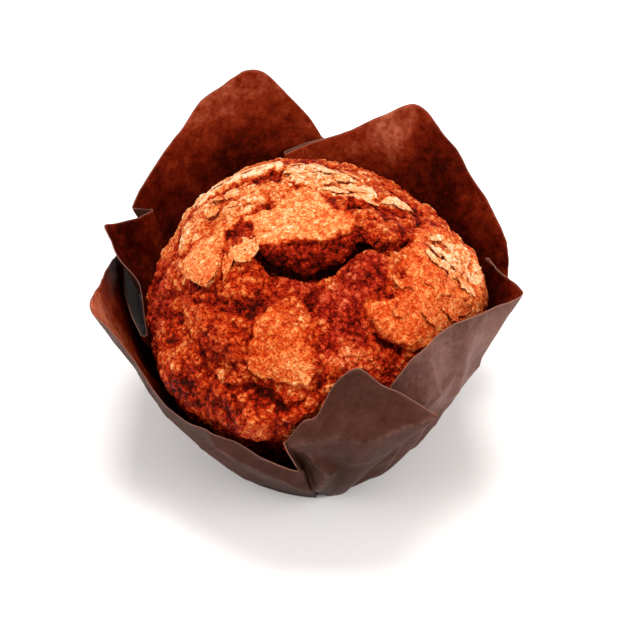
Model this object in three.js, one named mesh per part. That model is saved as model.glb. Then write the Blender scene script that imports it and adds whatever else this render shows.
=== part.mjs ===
// A muffin in a folded paper wrapper.
// Millimetres, +Z up. The origin is the middle of the wrapper's flat underside.
// Angles are degrees about Z, counted from +X towards +Y; the front of the muffin faces -Y.
import * as THREE from 'three';
import { mergeVertices } from 'three/addons/utils/BufferGeometryUtils.js';

// ---- driving dimensions -------------------------------------------------
const BASE_RADIUS = 25;        // the wrapper's round foot
const WALL_FLARE = 0.45;       // how much the wrapper's wall widens per mm of height
const PAPER = 0.3;             // thickness of the paper as modelled
const LAYER_STEP = 0.9;        // distance between the middles of two folded layers
const FOOT_LAYER_STEP = 0.5;   // the same at the foot, where the folds start
const AIR = 0.6;               // gap between the cake and the paper
const TOUCH_BLEND = 0.3;       // rounding where the free wall comes to lie on the cake
const PLEAT_START = 0.3;       // share of the height where the layers are fully apart

const CAKE_FOOT_RADIUS = 23.7; // the cake where it stands on the paper
const CAKE_CROWN_RADIUS = 37.8; // widest part of the risen top
const CAKE_CROWN_HEIGHT = 38;  // height of the widest part
const CAKE_TOP = 66;
const CAKE_LEAN = 3.2;         // the crown rose this far towards +X
const CAKE_LEAN_HEIGHT = 48;   // height where the cake leans most
const FOOT_ROUNDING = 2;
const FOOT_RINGS = [0.35, 0.7]; // rings of the mesh under the cake, as shares of its radius
const FOOT_TURNS = [0, 30, 60, 90];
const SIDE_HEIGHTS = [8, 15, 22, 28, 33];
const CROWN_RINGS = 18;
const CAKE_SEGMENTS = 48;

// The burst in the crown. Its profile is measured forwards from the lip.
const BURST_X = 1;             // middle of the burst
const BURST_FADE = [12, 19];   // it fades between these distances to either side
const LIP_Y = -9.5;            // the lip's most forward point
const LIP_CURVE = 0.035;
const PLATE = { rise: 1.2, start: [-16, -8], end: [-1, 1.5] };
const CLEFT = { rise: -5, start: [-0.5, 3], end: [5, 13] };
const VALLEY = { rise: -1.6, start: [4, 9], end: [16, 24] };
const CRUST_FADE = [44, 54];   // heights between which the burst comes in
const CRUST_SETTLE = 0.4;      // the crust round the burst sank this far
const KNOB_RISE = 0.45;
const KNOB_FADE = [42, 50];

// ---- small helpers ------------------------------------------------------
const radians = (degrees) => THREE.MathUtils.degToRad(degrees);
const { clamp, lerp, smoothstep } = THREE.MathUtils;

function smoothMax(a, b, width) {
  return 0.5 * (a + b + Math.hypot(a - b, width));
}

// ---- the cake -----------------------------------------------------------
// Radius of the smooth cake, before its crust breaks up, at height z.
function cakeRadius(z) {
  if (z >= CAKE_CROWN_HEIGHT) {
    const rise = (z - CAKE_CROWN_HEIGHT) / (CAKE_TOP - CAKE_CROWN_HEIGHT);
    return CAKE_CROWN_RADIUS * Math.sqrt(Math.max(0, 1 - rise * rise));
  }
  return lerp(CAKE_FOOT_RADIUS, CAKE_CROWN_RADIUS, z / CAKE_CROWN_HEIGHT);
}

// The crown rose to one side: the lean grows with height and is gone at the top.
function cakeLean(z) {
  if (z < CAKE_LEAN_HEIGHT) return CAKE_LEAN * (z / CAKE_LEAN_HEIGHT) ** 2.5;
  return CAKE_LEAN * (1 - smoothstep(z, CAKE_LEAN_HEIGHT, CAKE_TOP));
}

// Distance from the Z axis to the side of the leaning cake, in one direction.
function cakeEdge(azimuth, z) {
  const lean = cakeLean(z);
  const across = lean * Math.sin(radians(azimuth));
  const radius = cakeRadius(z);
  if (radius <= Math.abs(across)) return 0;
  return lean * Math.cos(radians(azimuth)) + Math.sqrt(radius * radius - across * across);
}

// The smooth outline from the middle of the foot to the middle of the top.
function cakeOutline() {
  const foot = PAPER + AIR;
  const outline = [new THREE.Vector2(0, foot)];
  const corner = cakeRadius(foot + FOOT_ROUNDING);
  for (const share of FOOT_RINGS) outline.push(new THREE.Vector2(share * corner, foot));
  for (const turn of FOOT_TURNS) {
    const r = corner - FOOT_ROUNDING * (1 - Math.sin(radians(turn)));
    const z = foot + FOOT_ROUNDING * (1 - Math.cos(radians(turn)));
    outline.push(new THREE.Vector2(r, z));
  }
  for (const z of SIDE_HEIGHTS) outline.push(new THREE.Vector2(cakeRadius(z), z));
  for (let ring = 0; ring < CROWN_RINGS; ring++) {
    const angle = radians(90 * ring / CROWN_RINGS);
    const z = CAKE_CROWN_HEIGHT + (CAKE_TOP - CAKE_CROWN_HEIGHT) * Math.sin(angle);
    outline.push(new THREE.Vector2(CAKE_CROWN_RADIUS * Math.cos(angle), z));
  }
  outline.push(new THREE.Vector2(0, CAKE_TOP));
  return outline;
}

// One stretch of the burst's profile, at a distance ahead of the lip.
function stretch(ahead, { rise, start, end }) {
  return rise * smoothstep(ahead, ...start) * (1 - smoothstep(ahead, ...end));
}

// The crust burst along a curved lip near the top: the plate behind it stands
// proud, a cleft opens in front of it and a valley of bare crumb runs forwards.
function burst(x, y) {
  const aside = Math.abs(x - BURST_X);
  const ahead = LIP_Y + LIP_CURVE * aside ** 2 - y;
  const profile = stretch(ahead, PLATE) + stretch(ahead, CLEFT) + stretch(ahead, VALLEY);
  return profile * (1 - smoothstep(aside, ...BURST_FADE));
}

// Rounded knobs of the cracked crust, fading out towards the paper. Two waves
// of unlike direction keep them from lining up.
function knobs(x, y, z) {
  const wave = Math.sin(0.55 * x + 1.3) * Math.sin(0.6 * y - 0.4)
    + 0.6 * Math.sin(0.9 * x - 0.7 * y + 0.5 * z);
  return KNOB_RISE * wave * smoothstep(z, ...KNOB_FADE);
}

function muffinGeometry() {
  const geometry = new THREE.LatheGeometry(cakeOutline(), CAKE_SEGMENTS);
  geometry.rotateX(Math.PI / 2);
  const position = geometry.attributes.position;
  for (let i = 0; i < position.count; i++) {
    const x = position.getX(i);
    const y = position.getY(i);
    const z = position.getZ(i);
    const onTop = smoothstep(z, ...CRUST_FADE);
    const lift = onTop * (burst(x, y) - CRUST_SETTLE) + knobs(x, y, z);
    position.setXYZ(i, x + cakeLean(z), y, z + lift);
  }
  return closedBody(geometry);
}

// ---- the paper wrapper --------------------------------------------------
// One sheet, folded into six petals. Each rim point is
// [azimuth, radius, height, layer]: layer 0 lies on the cake, and a pleat
// stacks layers 1 and 2 outside it. Footing is the petal's share of the foot.
const PETALS = {
  front: { footing: [-85, -79], bulge: 2, rim: [
    [-96.5, 38.2, 38.2, 0], [-91.5, 37.9, 43.4, 0], [-87.5, 37.2, 44.6, 0], [-81.5, 36.4, 51, 0],
    [-77, 36.1, 54, 0], [-73.5, 36.3, 54.6, 1], [-67, 38.7, 50.6, 2], [-60, 41.2, 47, 2],
    [-55, 43.6, 43.6, 2]] },
  right: { footing: [-78, 12], bulge: -0.6, rim: [
    [-66, 38.6, 46, 0], [-63, 38.6, 49.6, 0], [-56, 37.8, 53.6, 0], [-43, 37.7, 56.2, 0],
    [-35, 40, 56.6, 0], [-24, 43.2, 54.6, 0], [-15, 47, 52.8, 0], [-11, 46.4, 51.4, 0],
    [-3, 43.9, 48.2, 0], [6, 42.2, 45, 0], [18, 43.2, 38.5, 0]] },
  backRight: { footing: [13, 92], bulge: 0.5, rim: [
    [14, 47.8, 34, 2], [19, 49, 40.5, 2], [26, 49, 43.8, 1], [34.5, 49, 47.2, 0],
    [49, 49, 55.8, 0], [57, 50, 60, 0], [61, 49.8, 60, 0], [69, 48.4, 55, 0],
    [78, 46.8, 50.2, 0], [86, 44.7, 48.2, 0], [97, 43.7, 45, 0]] },
  backLeft: { footing: [93, 147], bulge: 0.5, rim: [
    [86, 47.4, 47, 2], [90, 48.4, 52.5, 2], [95.5, 49.4, 58.4, 2], [102.5, 50, 65.6, 1],
    [107, 50, 66.6, 0], [113, 49.6, 64.6, 0], [121, 49, 62.2, 0], [128, 48.4, 56.8, 0],
    [135, 48, 53.2, 0], [142, 47.6, 49.6, 2], [151, 46.8, 46.4, 2]] },
  side: { footing: [148, 170], bulge: 0, rim: [
    [146, 44, 43.4, 0], [153, 45.4, 44.6, 0], [159, 47.6, 46.4, 0], [162.5, 48.6, 48, 0],
    [167, 45.8, 47.8, 0], [172, 43.2, 46.8, 0], [177, 38, 41.6, 0], [188, 36.8, 32.6, 0]] },
  left: { footing: [171, 274], bulge: 1.2, rim: [
    [157, 47.5, 37, 3], [166, 46.4, 40, 3], [174, 45.6, 43.2, 3], [183, 46.2, 45.4, 2],
    [191, 48, 47, 0], [196, 47.8, 47.6, 0], [203, 45.9, 48.2, 0], [209, 42.9, 42, 0],
    [215, 41.2, 35.6, 0], [227, 40.6, 33.4, 0], [243, 40.2, 34.4, 0],
    [257, 40.6, 33.4, 1], [267, 41.2, 30.6, 2]] },
};
const COLUMN_SPACING = 5.5;    // widest step, in degrees, between two columns of the mesh
const PLEAT_COLUMNS = 3;       // columns across the layer hidden inside a pleat
const CROWN_REACH = 2.5;       // the paper is bowed out this far above and below the crown
const ROWS = 9;                // rows of the mesh from foot to rim
const FOLD_TURN = 0.55;        // degrees that a fold's round edge reaches past its layers
const FOOT_STEP = 0.15;        // degrees from a pleat's middle to either end, at the foot
const FOOT_DISC_RINGS = [0.5, 0.94]; // rings of the mesh in the foot, as shares of its radius

// One column of the wall: where it stands on the foot and where it ends.
function column(azimuth, radius, height, layer, footAzimuth, bulge) {
  return { azimuth, radius, height, layer, footAzimuth, bulge };
}

function blendColumns(a, b, share) {
  return column(lerp(a.azimuth, b.azimuth, share), lerp(a.radius, b.radius, share),
    lerp(a.height, b.height, share), lerp(a.layer, b.layer, share),
    lerp(a.footAzimuth, b.footAzimuth, share), lerp(a.bulge, b.bulge, share));
}

// A petal's columns: its rim points joined by a smooth curve.
function petalColumns({ footing, bulge, rim }) {
  const points = rim.map(([azimuth, radius, height]) => new THREE.Vector3(azimuth, radius, height));
  const curve = new THREE.CatmullRomCurve3(points, false, 'centripetal');
  const spans = rim.length - 1;
  const add = (span, part) => {
    const share = (span + part) / spans;
    const point = curve.getPoint(share);
    const layer = lerp(rim[span][3], rim[Math.min(span + 1, spans)][3], part);
    const turned = (point.x - rim[0][0]) / (rim[spans][0] - rim[0][0]);
    const crown = bulge * Math.sqrt(Math.sin(Math.PI * share));
    columns.push(column(point.x, point.y, point.z, layer, lerp(...footing, turned), crown));
  };
  const columns = [];
  for (let span = 0; span < spans; span++) {
    const steps = Math.ceil((rim[span + 1][0] - rim[span][0]) / COLUMN_SPACING);
    for (let step = 0; step < steps; step++) add(span, step / steps);
  }
  add(spans, 0);
  return columns;
}

// The layer that a pleat folds away, from one petal's edge back to the next one's.
function pleatColumns(last, first) {
  const between = 0.5 * (last.layer + first.layer);
  const turn = FOLD_TURN * Math.sign(last.azimuth - first.azimuth);
  const step = (between - last.layer) * LAYER_STEP;
  const middle = 0.5 * (last.footAzimuth + first.footAzimuth);
  const leave = column(last.azimuth, last.radius + step, last.height, between, middle - FOOT_STEP, 0);
  const arrive = column(first.azimuth, first.radius - step, first.height, between, middle + FOOT_STEP, 0);
  const columns = [];
  for (let i = 0; i < PLEAT_COLUMNS; i++) {
    columns.push(blendColumns(leave, arrive, i / (PLEAT_COLUMNS - 1)));
  }
  return [foldEdge(last, leave, turn), ...columns, foldEdge(arrive, first, -turn)];
}

// The round edge of a fold, halfway between its two layers and just past them.
function foldEdge(a, b, turn) {
  const edge = blendColumns(a, b, 0.5);
  edge.azimuth += turn;
  return edge;
}

function wrapperColumns() {
  const petals = Object.values(PETALS).map(petalColumns);
  const columns = [];
  petals.forEach((petal, i) => {
    const next = petals[(i + 1) % petals.length];
    const turn = i + 1 < petals.length ? 0 : 360;
    const first = { ...next[0] };
    first.azimuth += turn;
    first.footAzimuth += turn;
    columns.push(...petal, ...pleatColumns(petal[petal.length - 1], first));
  });
  return columns;
}

// A point of the wall: share 0 is the foot's edge and share 1 the rim.
function wallPoint(wall, share) {
  const azimuth = lerp(wall.footAzimuth, wall.azimuth, share);
  const z = lerp(0.5 * PAPER, wall.height, share);
  const step = LAYER_STEP * wall.layer;
  const foot = BASE_RADIUS + FOOT_LAYER_STEP * wall.layer;
  const half = Math.max(BASE_RADIUS + 0.5 * WALL_FLARE * wall.height + step + wall.bulge,
    0.5 * (foot + wall.radius));
  const free = 2 * foot * (share - 0.5) * (share - 1) + 4 * half * share * (1 - share)
    + 2 * wall.radius * share * (share - 0.5);
  const stack = lerp(FOOT_LAYER_STEP * wall.layer, step, smoothstep(share, 0, PLEAT_START));
  const widest = clamp(CAKE_CROWN_HEIGHT, z - CROWN_REACH, z + CROWN_REACH);
  const touching = cakeEdge(azimuth, widest) + AIR + 0.5 * PAPER + stack;
  const radius = share === 0 ? foot : smoothMax(free, touching, TOUCH_BLEND);
  return new THREE.Vector3(radius * Math.cos(radians(azimuth)), radius * Math.sin(radians(azimuth)), z);
}

// The sheet's middle surface: rings from the middle of the foot out to the rim.
function wrapperRings() {
  const columns = wrapperColumns();
  const rings = [];
  for (const share of FOOT_DISC_RINGS) {
    rings.push(columns.map((wall) => {
      const edge = wallPoint(wall, 0);
      return new THREE.Vector3(share * edge.x, share * edge.y, edge.z);
    }));
  }
  for (let row = 0; row <= ROWS; row++) {
    rings.push(columns.map((wall) => wallPoint(wall, row / ROWS)));
  }
  return rings;
}

// Normals of the middle surface, pointing out of the cup.
function ringNormals(rings) {
  const count = rings[0].length;
  return rings.map((ring, row) => ring.map((point, i) => {
    const inner = rings[Math.max(row - 1, 0)][i];
    const outer = rings[Math.min(row + 1, rings.length - 1)][i];
    const along = outer.clone().sub(inner);
    const around = ring[(i + 1) % count].clone().sub(ring[(i + count - 1) % count]);
    return around.cross(along).normalize();
  }));
}

// Gives the folded sheet its thickness: an outer skin, an inner skin and a rim.
function wrapperGeometry() {
  const rings = wrapperRings();
  const normals = ringNormals(rings);
  const count = rings[0].length;
  const vertices = [];
  const faces = [];
  for (const side of [0.5, -0.5]) {
    vertices.push(new THREE.Vector3(0, 0, 0.5 * PAPER - side * PAPER));
    rings.forEach((ring, row) => ring.forEach((point, i) => {
      vertices.push(point.clone().addScaledVector(normals[row][i], side * PAPER));
    }));
  }
  const skin = 1 + rings.length * count;
  const at = (face, row, i) => face * skin + 1 + row * count + (i % count);
  for (let i = 0; i < count; i++) {
    faces.push([0, at(0, 0, i + 1), at(0, 0, i)]);
    faces.push([skin, at(1, 0, i), at(1, 0, i + 1)]);
    for (let row = 0; row + 1 < rings.length; row++) {
      faces.push([at(0, row, i), at(0, row, i + 1), at(0, row + 1, i + 1)]);
      faces.push([at(0, row, i), at(0, row + 1, i + 1), at(0, row + 1, i)]);
      faces.push([at(1, row, i), at(1, row + 1, i + 1), at(1, row, i + 1)]);
      faces.push([at(1, row, i), at(1, row + 1, i), at(1, row + 1, i + 1)]);
    }
    const rim = rings.length - 1;
    faces.push([at(0, rim, i), at(0, rim, i + 1), at(1, rim, i + 1)]);
    faces.push([at(0, rim, i), at(1, rim, i + 1), at(1, rim, i)]);
  }
  const geometry = new THREE.BufferGeometry().setFromPoints(vertices);
  geometry.setIndex(faces.flat());
  return closedBody(geometry);
}

// ---- assembly -----------------------------------------------------------
function closedBody(geometry) {
  geometry.deleteAttribute('normal');
  geometry.deleteAttribute('uv');
  const body = mergeVertices(geometry, 1e-4);
  body.computeVertexNormals();
  return body;
}

function part(name, geometry, material) {
  const mesh = new THREE.Mesh(geometry, new THREE.MeshStandardMaterial(material));
  mesh.name = name;
  return mesh;
}

const muffin = part('muffin', muffinGeometry(), { color: 0xc4652c, roughness: 0.85, metalness: 0 });
const wrapper = part('paper_wrapper', wrapperGeometry(),
  { color: 0x4a2c24, roughness: 0.6, metalness: 0 });

export default new THREE.Group().add(muffin, wrapper);
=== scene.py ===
"""The looks of a muffin in its folded paper wrapper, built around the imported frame.

Lengths are in millimetres until a mesh is made, and meshes are in metres. Z is up, X goes to the
right and the front faces -Y.

Places on the risen crown are given on the crown map, a flat map of the crown seen from above:
its middle is the top, a distance of 45 on it is the crown's widest edge, and a distance between
the two is in step with the angle down from the top. Map X and Y keep the directions of X and Y.
"""

import logging
import math
from dataclasses import dataclass, field
from enum import Enum

import bpy
import numpy as np
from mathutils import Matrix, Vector

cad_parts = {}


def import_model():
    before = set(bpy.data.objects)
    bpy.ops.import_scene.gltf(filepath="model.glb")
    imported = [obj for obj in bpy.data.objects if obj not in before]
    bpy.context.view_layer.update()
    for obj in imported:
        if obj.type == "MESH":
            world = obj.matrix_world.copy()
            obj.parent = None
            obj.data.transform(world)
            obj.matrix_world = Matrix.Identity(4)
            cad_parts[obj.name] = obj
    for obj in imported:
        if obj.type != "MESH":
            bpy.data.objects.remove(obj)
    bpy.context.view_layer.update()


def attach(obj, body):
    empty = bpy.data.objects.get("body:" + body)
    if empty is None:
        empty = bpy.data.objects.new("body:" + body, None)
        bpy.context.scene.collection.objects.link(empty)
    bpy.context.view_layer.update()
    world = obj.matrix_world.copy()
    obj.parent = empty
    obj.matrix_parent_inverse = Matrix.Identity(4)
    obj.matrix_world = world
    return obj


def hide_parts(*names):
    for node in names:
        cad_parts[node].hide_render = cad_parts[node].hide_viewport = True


LOG = logging.getLogger("muffin")
MM = 0.001
MAP_EDGE = 45.0
BACK_AND_DOWN = np.array([0.0, 0.695, -0.719])
CELL_KEYS = np.array([73856093, 19349663, 83492791])
SEED_KEY = 6542989
MIXING_STEPS = ((13, 1274126177), (16, 668265263), (15, 374761393))
Array = np.ndarray
Spots = list[tuple[float, float]]
Colour = tuple[int, int, int]
Stops = tuple[tuple[float, Colour], ...]


# ---- small mathematics -----------------------------------------------------


def ease(start: float, end: float, value: Array) -> Array:
    """Goes smoothly from 0 at start to 1 at end: 3t^2 - 2t^3, with t clipped to 0 and 1."""
    t = np.clip((value - start) / (end - start), 0.0, 1.0)
    return t * t * (3.0 - 2.0 * t)


def mix(a: Array | float, b: Array | float, share: Array | float) -> Array:
    """Goes in a straight line from a to b."""
    return a + (b - a) * share


def cell_chance(cells: Array, seed: int) -> Array:
    """A fixed random number for each cell of a lattice.

    Args:
        cells: whole numbers, three to a row.
        seed: picks another set of numbers.

    Returns:
        Numbers from 0 to 1: the three indices mixed by multiplying and by shifted exclusive-ors.
    """
    key = (cells.astype(np.int64) * CELL_KEYS).sum(-1) + seed * SEED_KEY
    for shift, factor in MIXING_STEPS:
        key = ((key ^ (key >> shift)) * factor) & 0xFFFFFFFF
    return ((key ^ (key >> 14)) & 0xFFFFFF) / 0xFFFFFF


def noise(points: Array, size: float, seed: int, octaves: int = 1) -> Array:
    """Smooth random hills in space.

    Each octave blends the chances of the eight lattice corners round a point with an eased
    weight, and the next one has half the size and half the height.

    Args:
        points: places in millimetres.
        size: distance between the largest hills.
        seed: picks another set of hills.
        octaves: how many sizes are added up.

    Returns:
        Heights from about -1 to 1.
    """
    total = np.zeros(len(points))
    weight = 1.0
    for octave in range(octaves):
        place = points / (size * 0.5**octave)
        corner = np.floor(place)
        part = place - corner
        part = part * part * (3.0 - 2.0 * part)
        for step in np.ndindex(2, 2, 2):
            side = np.array(step)
            share = np.prod(np.where(side == 1, part, 1.0 - part), axis=1)
            total += weight * share * (2.0 * cell_chance(corner + side, seed + octave) - 1.0)
        weight *= 0.5
    return total / (2.0 - 2.0 * weight)


@dataclass(frozen=True)
class Pebbles:
    """A packing of pebbles: how near each point is to its pebble's middle, and to its border."""

    nearest: Array
    border: Array
    chance: Array


def pebbles(points: Array, size: float, seed: int) -> Pebbles:
    """Packs space with pebbles, one round a random middle in each cell of a lattice.

    Args:
        points: places in millimetres.
        size: the pebbles' typical size.
        seed: picks another packing.

    Returns:
        The distance to the nearest middle, how much further the next one is, both over size, and
        a random number for the pebble.
    """
    place = points / size
    home = np.floor(place)
    first = np.full(len(points), 9.0)
    second = first.copy()
    chance = np.zeros(len(points))
    for step in np.ndindex(3, 3, 3):
        cell = home + np.array(step) - 1
        jitter = np.stack([cell_chance(cell, seed + axis) for axis in range(3)], axis=1)
        distance = np.linalg.norm(cell + jitter - place, axis=1)
        closer = distance < first
        second = np.where(closer, first, np.minimum(second, distance))
        first = np.where(closer, distance, first)
        chance = np.where(closer, cell_chance(cell, seed + 3), chance)
    return Pebbles(first, second - first, chance)


def bowed(foot: Array | float, middle: Array, top: Array, share: Array) -> Array:
    """The parabola through three radii: at share 0, at a half and at 1."""
    return (2 * foot * (share - 0.5) * (share - 1) + 4 * middle * share * (1 - share)
            + 2 * top * share * (share - 0.5))


def path_distance(spots: Array, path: Spots) -> tuple[Array, Array]:
    """Distance from each spot to a path of straight pieces.

    Args:
        spots: places on the crown map.
        path: the path's corners.

    Returns:
        The distance, and the share of the way along the path, counted by its pieces.
    """
    best = np.full(len(spots), np.inf)
    along = np.zeros(len(spots))
    corners = np.array(path, float)
    for i, (start, end) in enumerate(zip(corners[:-1], corners[1:])):
        run = end - start
        share = np.clip((spots - start) @ run / (run @ run), 0.0, 1.0)
        distance = np.linalg.norm(spots - start - share[:, None] * run, axis=1)
        closer = distance < best
        best = np.where(closer, distance, best)
        along = np.where(closer, (i + share) / (len(corners) - 1), along)
    return best, along


def outline_depth(spots: Array, outline: Spots) -> Array:
    """How deep each spot lies inside a closed outline, below zero outside it.

    The size is the distance to the nearest side. A spot is inside where a line from it towards
    +X crosses an odd number of sides.

    Args:
        spots: places on the crown map.
        outline: the outline's corners, which the last side joins to the first one.

    Returns:
        One depth for each spot.
    """
    distance, _ = path_distance(spots, [*outline, outline[0]])
    inside = np.zeros(len(spots), bool)
    corners = np.array(outline, float)
    for (ax, ay), (bx, by) in zip(corners, np.roll(corners, -1, axis=0)):
        spans = (ay > spots[:, 1]) != (by > spots[:, 1])
        rise = by - ay if by != ay else 1.0
        inside ^= spans & (spots[:, 0] < ax + (bx - ax) * (spots[:, 1] - ay) / rise)
    return np.where(inside, distance, -distance)


# ---- meshes ----------------------------------------------------------------


def surface_normals(points: Array, wrap: bool = False) -> Array:
    """Unit normals of a grid of points: the cross product of the differences along its two sides.

    Args:
        points: rows, columns and x, y, z.
        wrap: whether the last column joins the first.

    Returns:
        One normal for each point, on the left of the rows when one looks along the columns.
    """
    down = np.gradient(points, axis=0)
    if wrap:
        across = np.roll(points, -1, axis=1) - np.roll(points, 1, axis=1)
    else:
        across = np.gradient(points, axis=1)
    normal = np.cross(across, down)
    return normal / np.maximum(np.linalg.norm(normal, axis=2, keepdims=True), 1e-12)


def grid_quads(rows: int, columns: int, wrap: bool = False, first: int = 0) -> Array:
    """Lists the quads between the points of a grid that is stored row by row.

    Args:
        rows: how many rows of points there are.
        columns: how many points a row has.
        wrap: whether the last column joins the first.
        first: the number of the grid's first point in its mesh.

    Returns:
        Four corner numbers for each quad.
    """
    row, column = np.meshgrid(
        np.arange(rows - 1), np.arange(columns if wrap else columns - 1), indexing="ij"
    )
    beside = (column + 1) % columns
    corners = [row * columns + column, row * columns + beside]
    corners += [(row + 1) * columns + beside, (row + 1) * columns + column]
    return first + np.stack(corners, axis=-1).reshape(-1, 4)


def grid_rim(rows: int, columns: int) -> Array:
    """Point numbers once round the outside of a grid that is stored row by row."""
    number = np.arange(rows * columns).reshape(rows, columns)
    return np.concatenate([number[0, :-1], number[:-1, -1], number[-1, :0:-1], number[:0:-1, 0]])


def make_piece(name: str, points: Array, faces: list[Array], marks: dict[str, Array]) -> bpy.types.Object:
    """Puts worked-out points and faces into a mesh object at the origin.

    Args:
        name: the piece's name.
        points: places in millimetres.
        faces: arrays of corner numbers, one array for each number of corners.
        marks: a number for each point, by name, which the materials read.

    Returns:
        The new object, smooth shaded.
    """
    mesh = bpy.data.meshes.new(name)
    mesh.vertices.add(len(points))
    mesh.vertices.foreach_set("co", (points * MM).astype(np.float32).ravel())
    corners = np.concatenate([block.ravel() for block in faces]).astype(np.int32)
    sizes = np.concatenate([np.full(len(block), block.shape[1]) for block in faces])
    mesh.loops.add(len(corners))
    mesh.loops.foreach_set("vertex_index", corners)
    mesh.polygons.add(len(sizes))
    mesh.polygons.foreach_set("loop_start", (np.cumsum(sizes) - sizes).astype(np.int32))
    mesh.polygons.foreach_set("use_smooth", np.ones(len(sizes), bool))
    for mark, values in marks.items():
        mesh.attributes.new(mark, "FLOAT", "POINT").data.foreach_set("value", values.astype(np.float32))
    mesh.update(calc_edges=True)
    mesh.validate()
    piece = bpy.data.objects.new(name, mesh)
    bpy.context.scene.collection.objects.link(piece)
    return piece


# ---- shader building -------------------------------------------------------


def srgb(red: int, green: int, blue: int) -> tuple[float, float, float, float]:
    """The linear colour of a screen colour given from 0 to 255."""
    linear = [((c / 255 + 0.055) / 1.055) ** 2.4 if c > 10 else c / 3294 for c in (red, green, blue)]
    return (*linear, 1.0)


@dataclass
class Shader:
    """A short hand for building one node tree."""

    tree: bpy.types.NodeTree

    def node(self, kind: str, **settings: object) -> bpy.types.Node:
        """Adds a node of one kind and sets its own settings.

        Args:
            kind: the node's type name.
            settings: the node's properties, by name.

        Returns:
            The new node.
        """
        node = self.tree.nodes.new(kind)
        for name, value in settings.items():
            setattr(node, name, value)
        return node

    def feed(self, socket: bpy.types.NodeSocket, value: object) -> None:
        """Links an output to a socket, or sets the socket to a plain value.

        Args:
            socket: the input to feed.
            value: another node's output, or a number or colour.
        """
        if isinstance(value, bpy.types.NodeSocket):
            self.tree.links.new(value, socket)
        else:
            socket.default_value = value

    def math(self, operation: str, *values: object) -> bpy.types.NodeSocket:
        """Works out one operation on numbers.

        Args:
            operation: the name of the operation.
            values: one to three outputs or plain numbers.

        Returns:
            The result.
        """
        node = self.node("ShaderNodeMath", operation=operation)
        for socket, value in zip(node.inputs, values):
            self.feed(socket, value)
        return node.outputs[0]

    def spread(self, value: object, low: float, high: float, new_low: float,
               new_high: float) -> bpy.types.NodeSocket:
        """Moves a number from one range to another, and clips it there.

        Args:
            value: the number.
            low: start of the range that it comes from.
            high: end of that range.
            new_low: start of the range that it goes to.
            new_high: end of that range.

        Returns:
            The moved number.
        """
        node = self.node("ShaderNodeMapRange")
        for socket, number in zip(node.inputs, (value, low, high, new_low, new_high)):
            self.feed(socket, number)
        return node.outputs[0]

    def mark(self, name: str) -> bpy.types.NodeSocket:
        """Reads one of the mesh's own marks."""
        return self.node("ShaderNodeAttribute", attribute_name=name).outputs["Fac"]

    def ramp(self, value: object, stops: Stops) -> bpy.types.NodeSocket:
        """Turns a number into a colour that blends between stops.

        Args:
            value: the number.
            stops: places from 0 to 1, each with its screen colour, in rising order.

        Returns:
            The colour.
        """
        node = self.node("ShaderNodeValToRGB")
        self.feed(node.inputs[0], value)
        elements = node.color_ramp.elements
        elements.remove(elements[1])
        elements[0].position, elements[0].color = stops[0][0], srgb(*stops[0][1])
        for position, colour in stops[1:]:
            elements.new(position).color = srgb(*colour)
        return node.outputs[0]

    def blend(self, share: object, a: object, b: object) -> bpy.types.NodeSocket:
        """Blends two colours.

        Args:
            share: 0 for all of the first, 1 for all of the second.
            a: the first colour.
            b: the second colour.

        Returns:
            The colour between them.
        """
        node = self.node("ShaderNodeMix", data_type="RGBA")
        for socket, value in zip((node.inputs[0], node.inputs[6], node.inputs[7]), (share, a, b)):
            self.feed(socket, value)
        return node.outputs[2]

    def noise(self, place: object, size: float, detail: float = 2.0) -> bpy.types.NodeSocket:
        """Makes noise from 0 to 1.

        Args:
            place: the place to read it at.
            size: size of its hills, in millimetres.
            detail: how many finer sizes are added.

        Returns:
            The noise.
        """
        node = self.node("ShaderNodeTexNoise")
        self.feed(node.inputs["Vector"], place)
        self.feed(node.inputs["Scale"], 1.0 / (size * MM))
        self.feed(node.inputs["Detail"], detail)
        return node.outputs["Fac"]

    def bump(self, height: object, strength: float, distance: float) -> bpy.types.NodeSocket:
        """Makes normals that follow a height.

        Args:
            height: the height, where 1 is the full distance.
            strength: how strongly it shows, from 0 to 1.
            distance: the full height, in millimetres.

        Returns:
            The normals.
        """
        node = self.node("ShaderNodeBump")
        self.feed(node.inputs["Strength"], strength)
        self.feed(node.inputs["Distance"], distance * MM)
        self.feed(node.inputs["Height"], height)
        return node.outputs["Normal"]

    def group(self, tree: bpy.types.NodeTree, **values: object) -> bpy.types.Node:
        """Places a node group.

        Args:
            tree: the group.
            values: what its inputs get, by name.

        Returns:
            The group's node.
        """
        node = self.node("ShaderNodeGroup", node_tree=tree)
        for name, value in values.items():
            self.feed(node.inputs[name], value)
        return node


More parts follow.
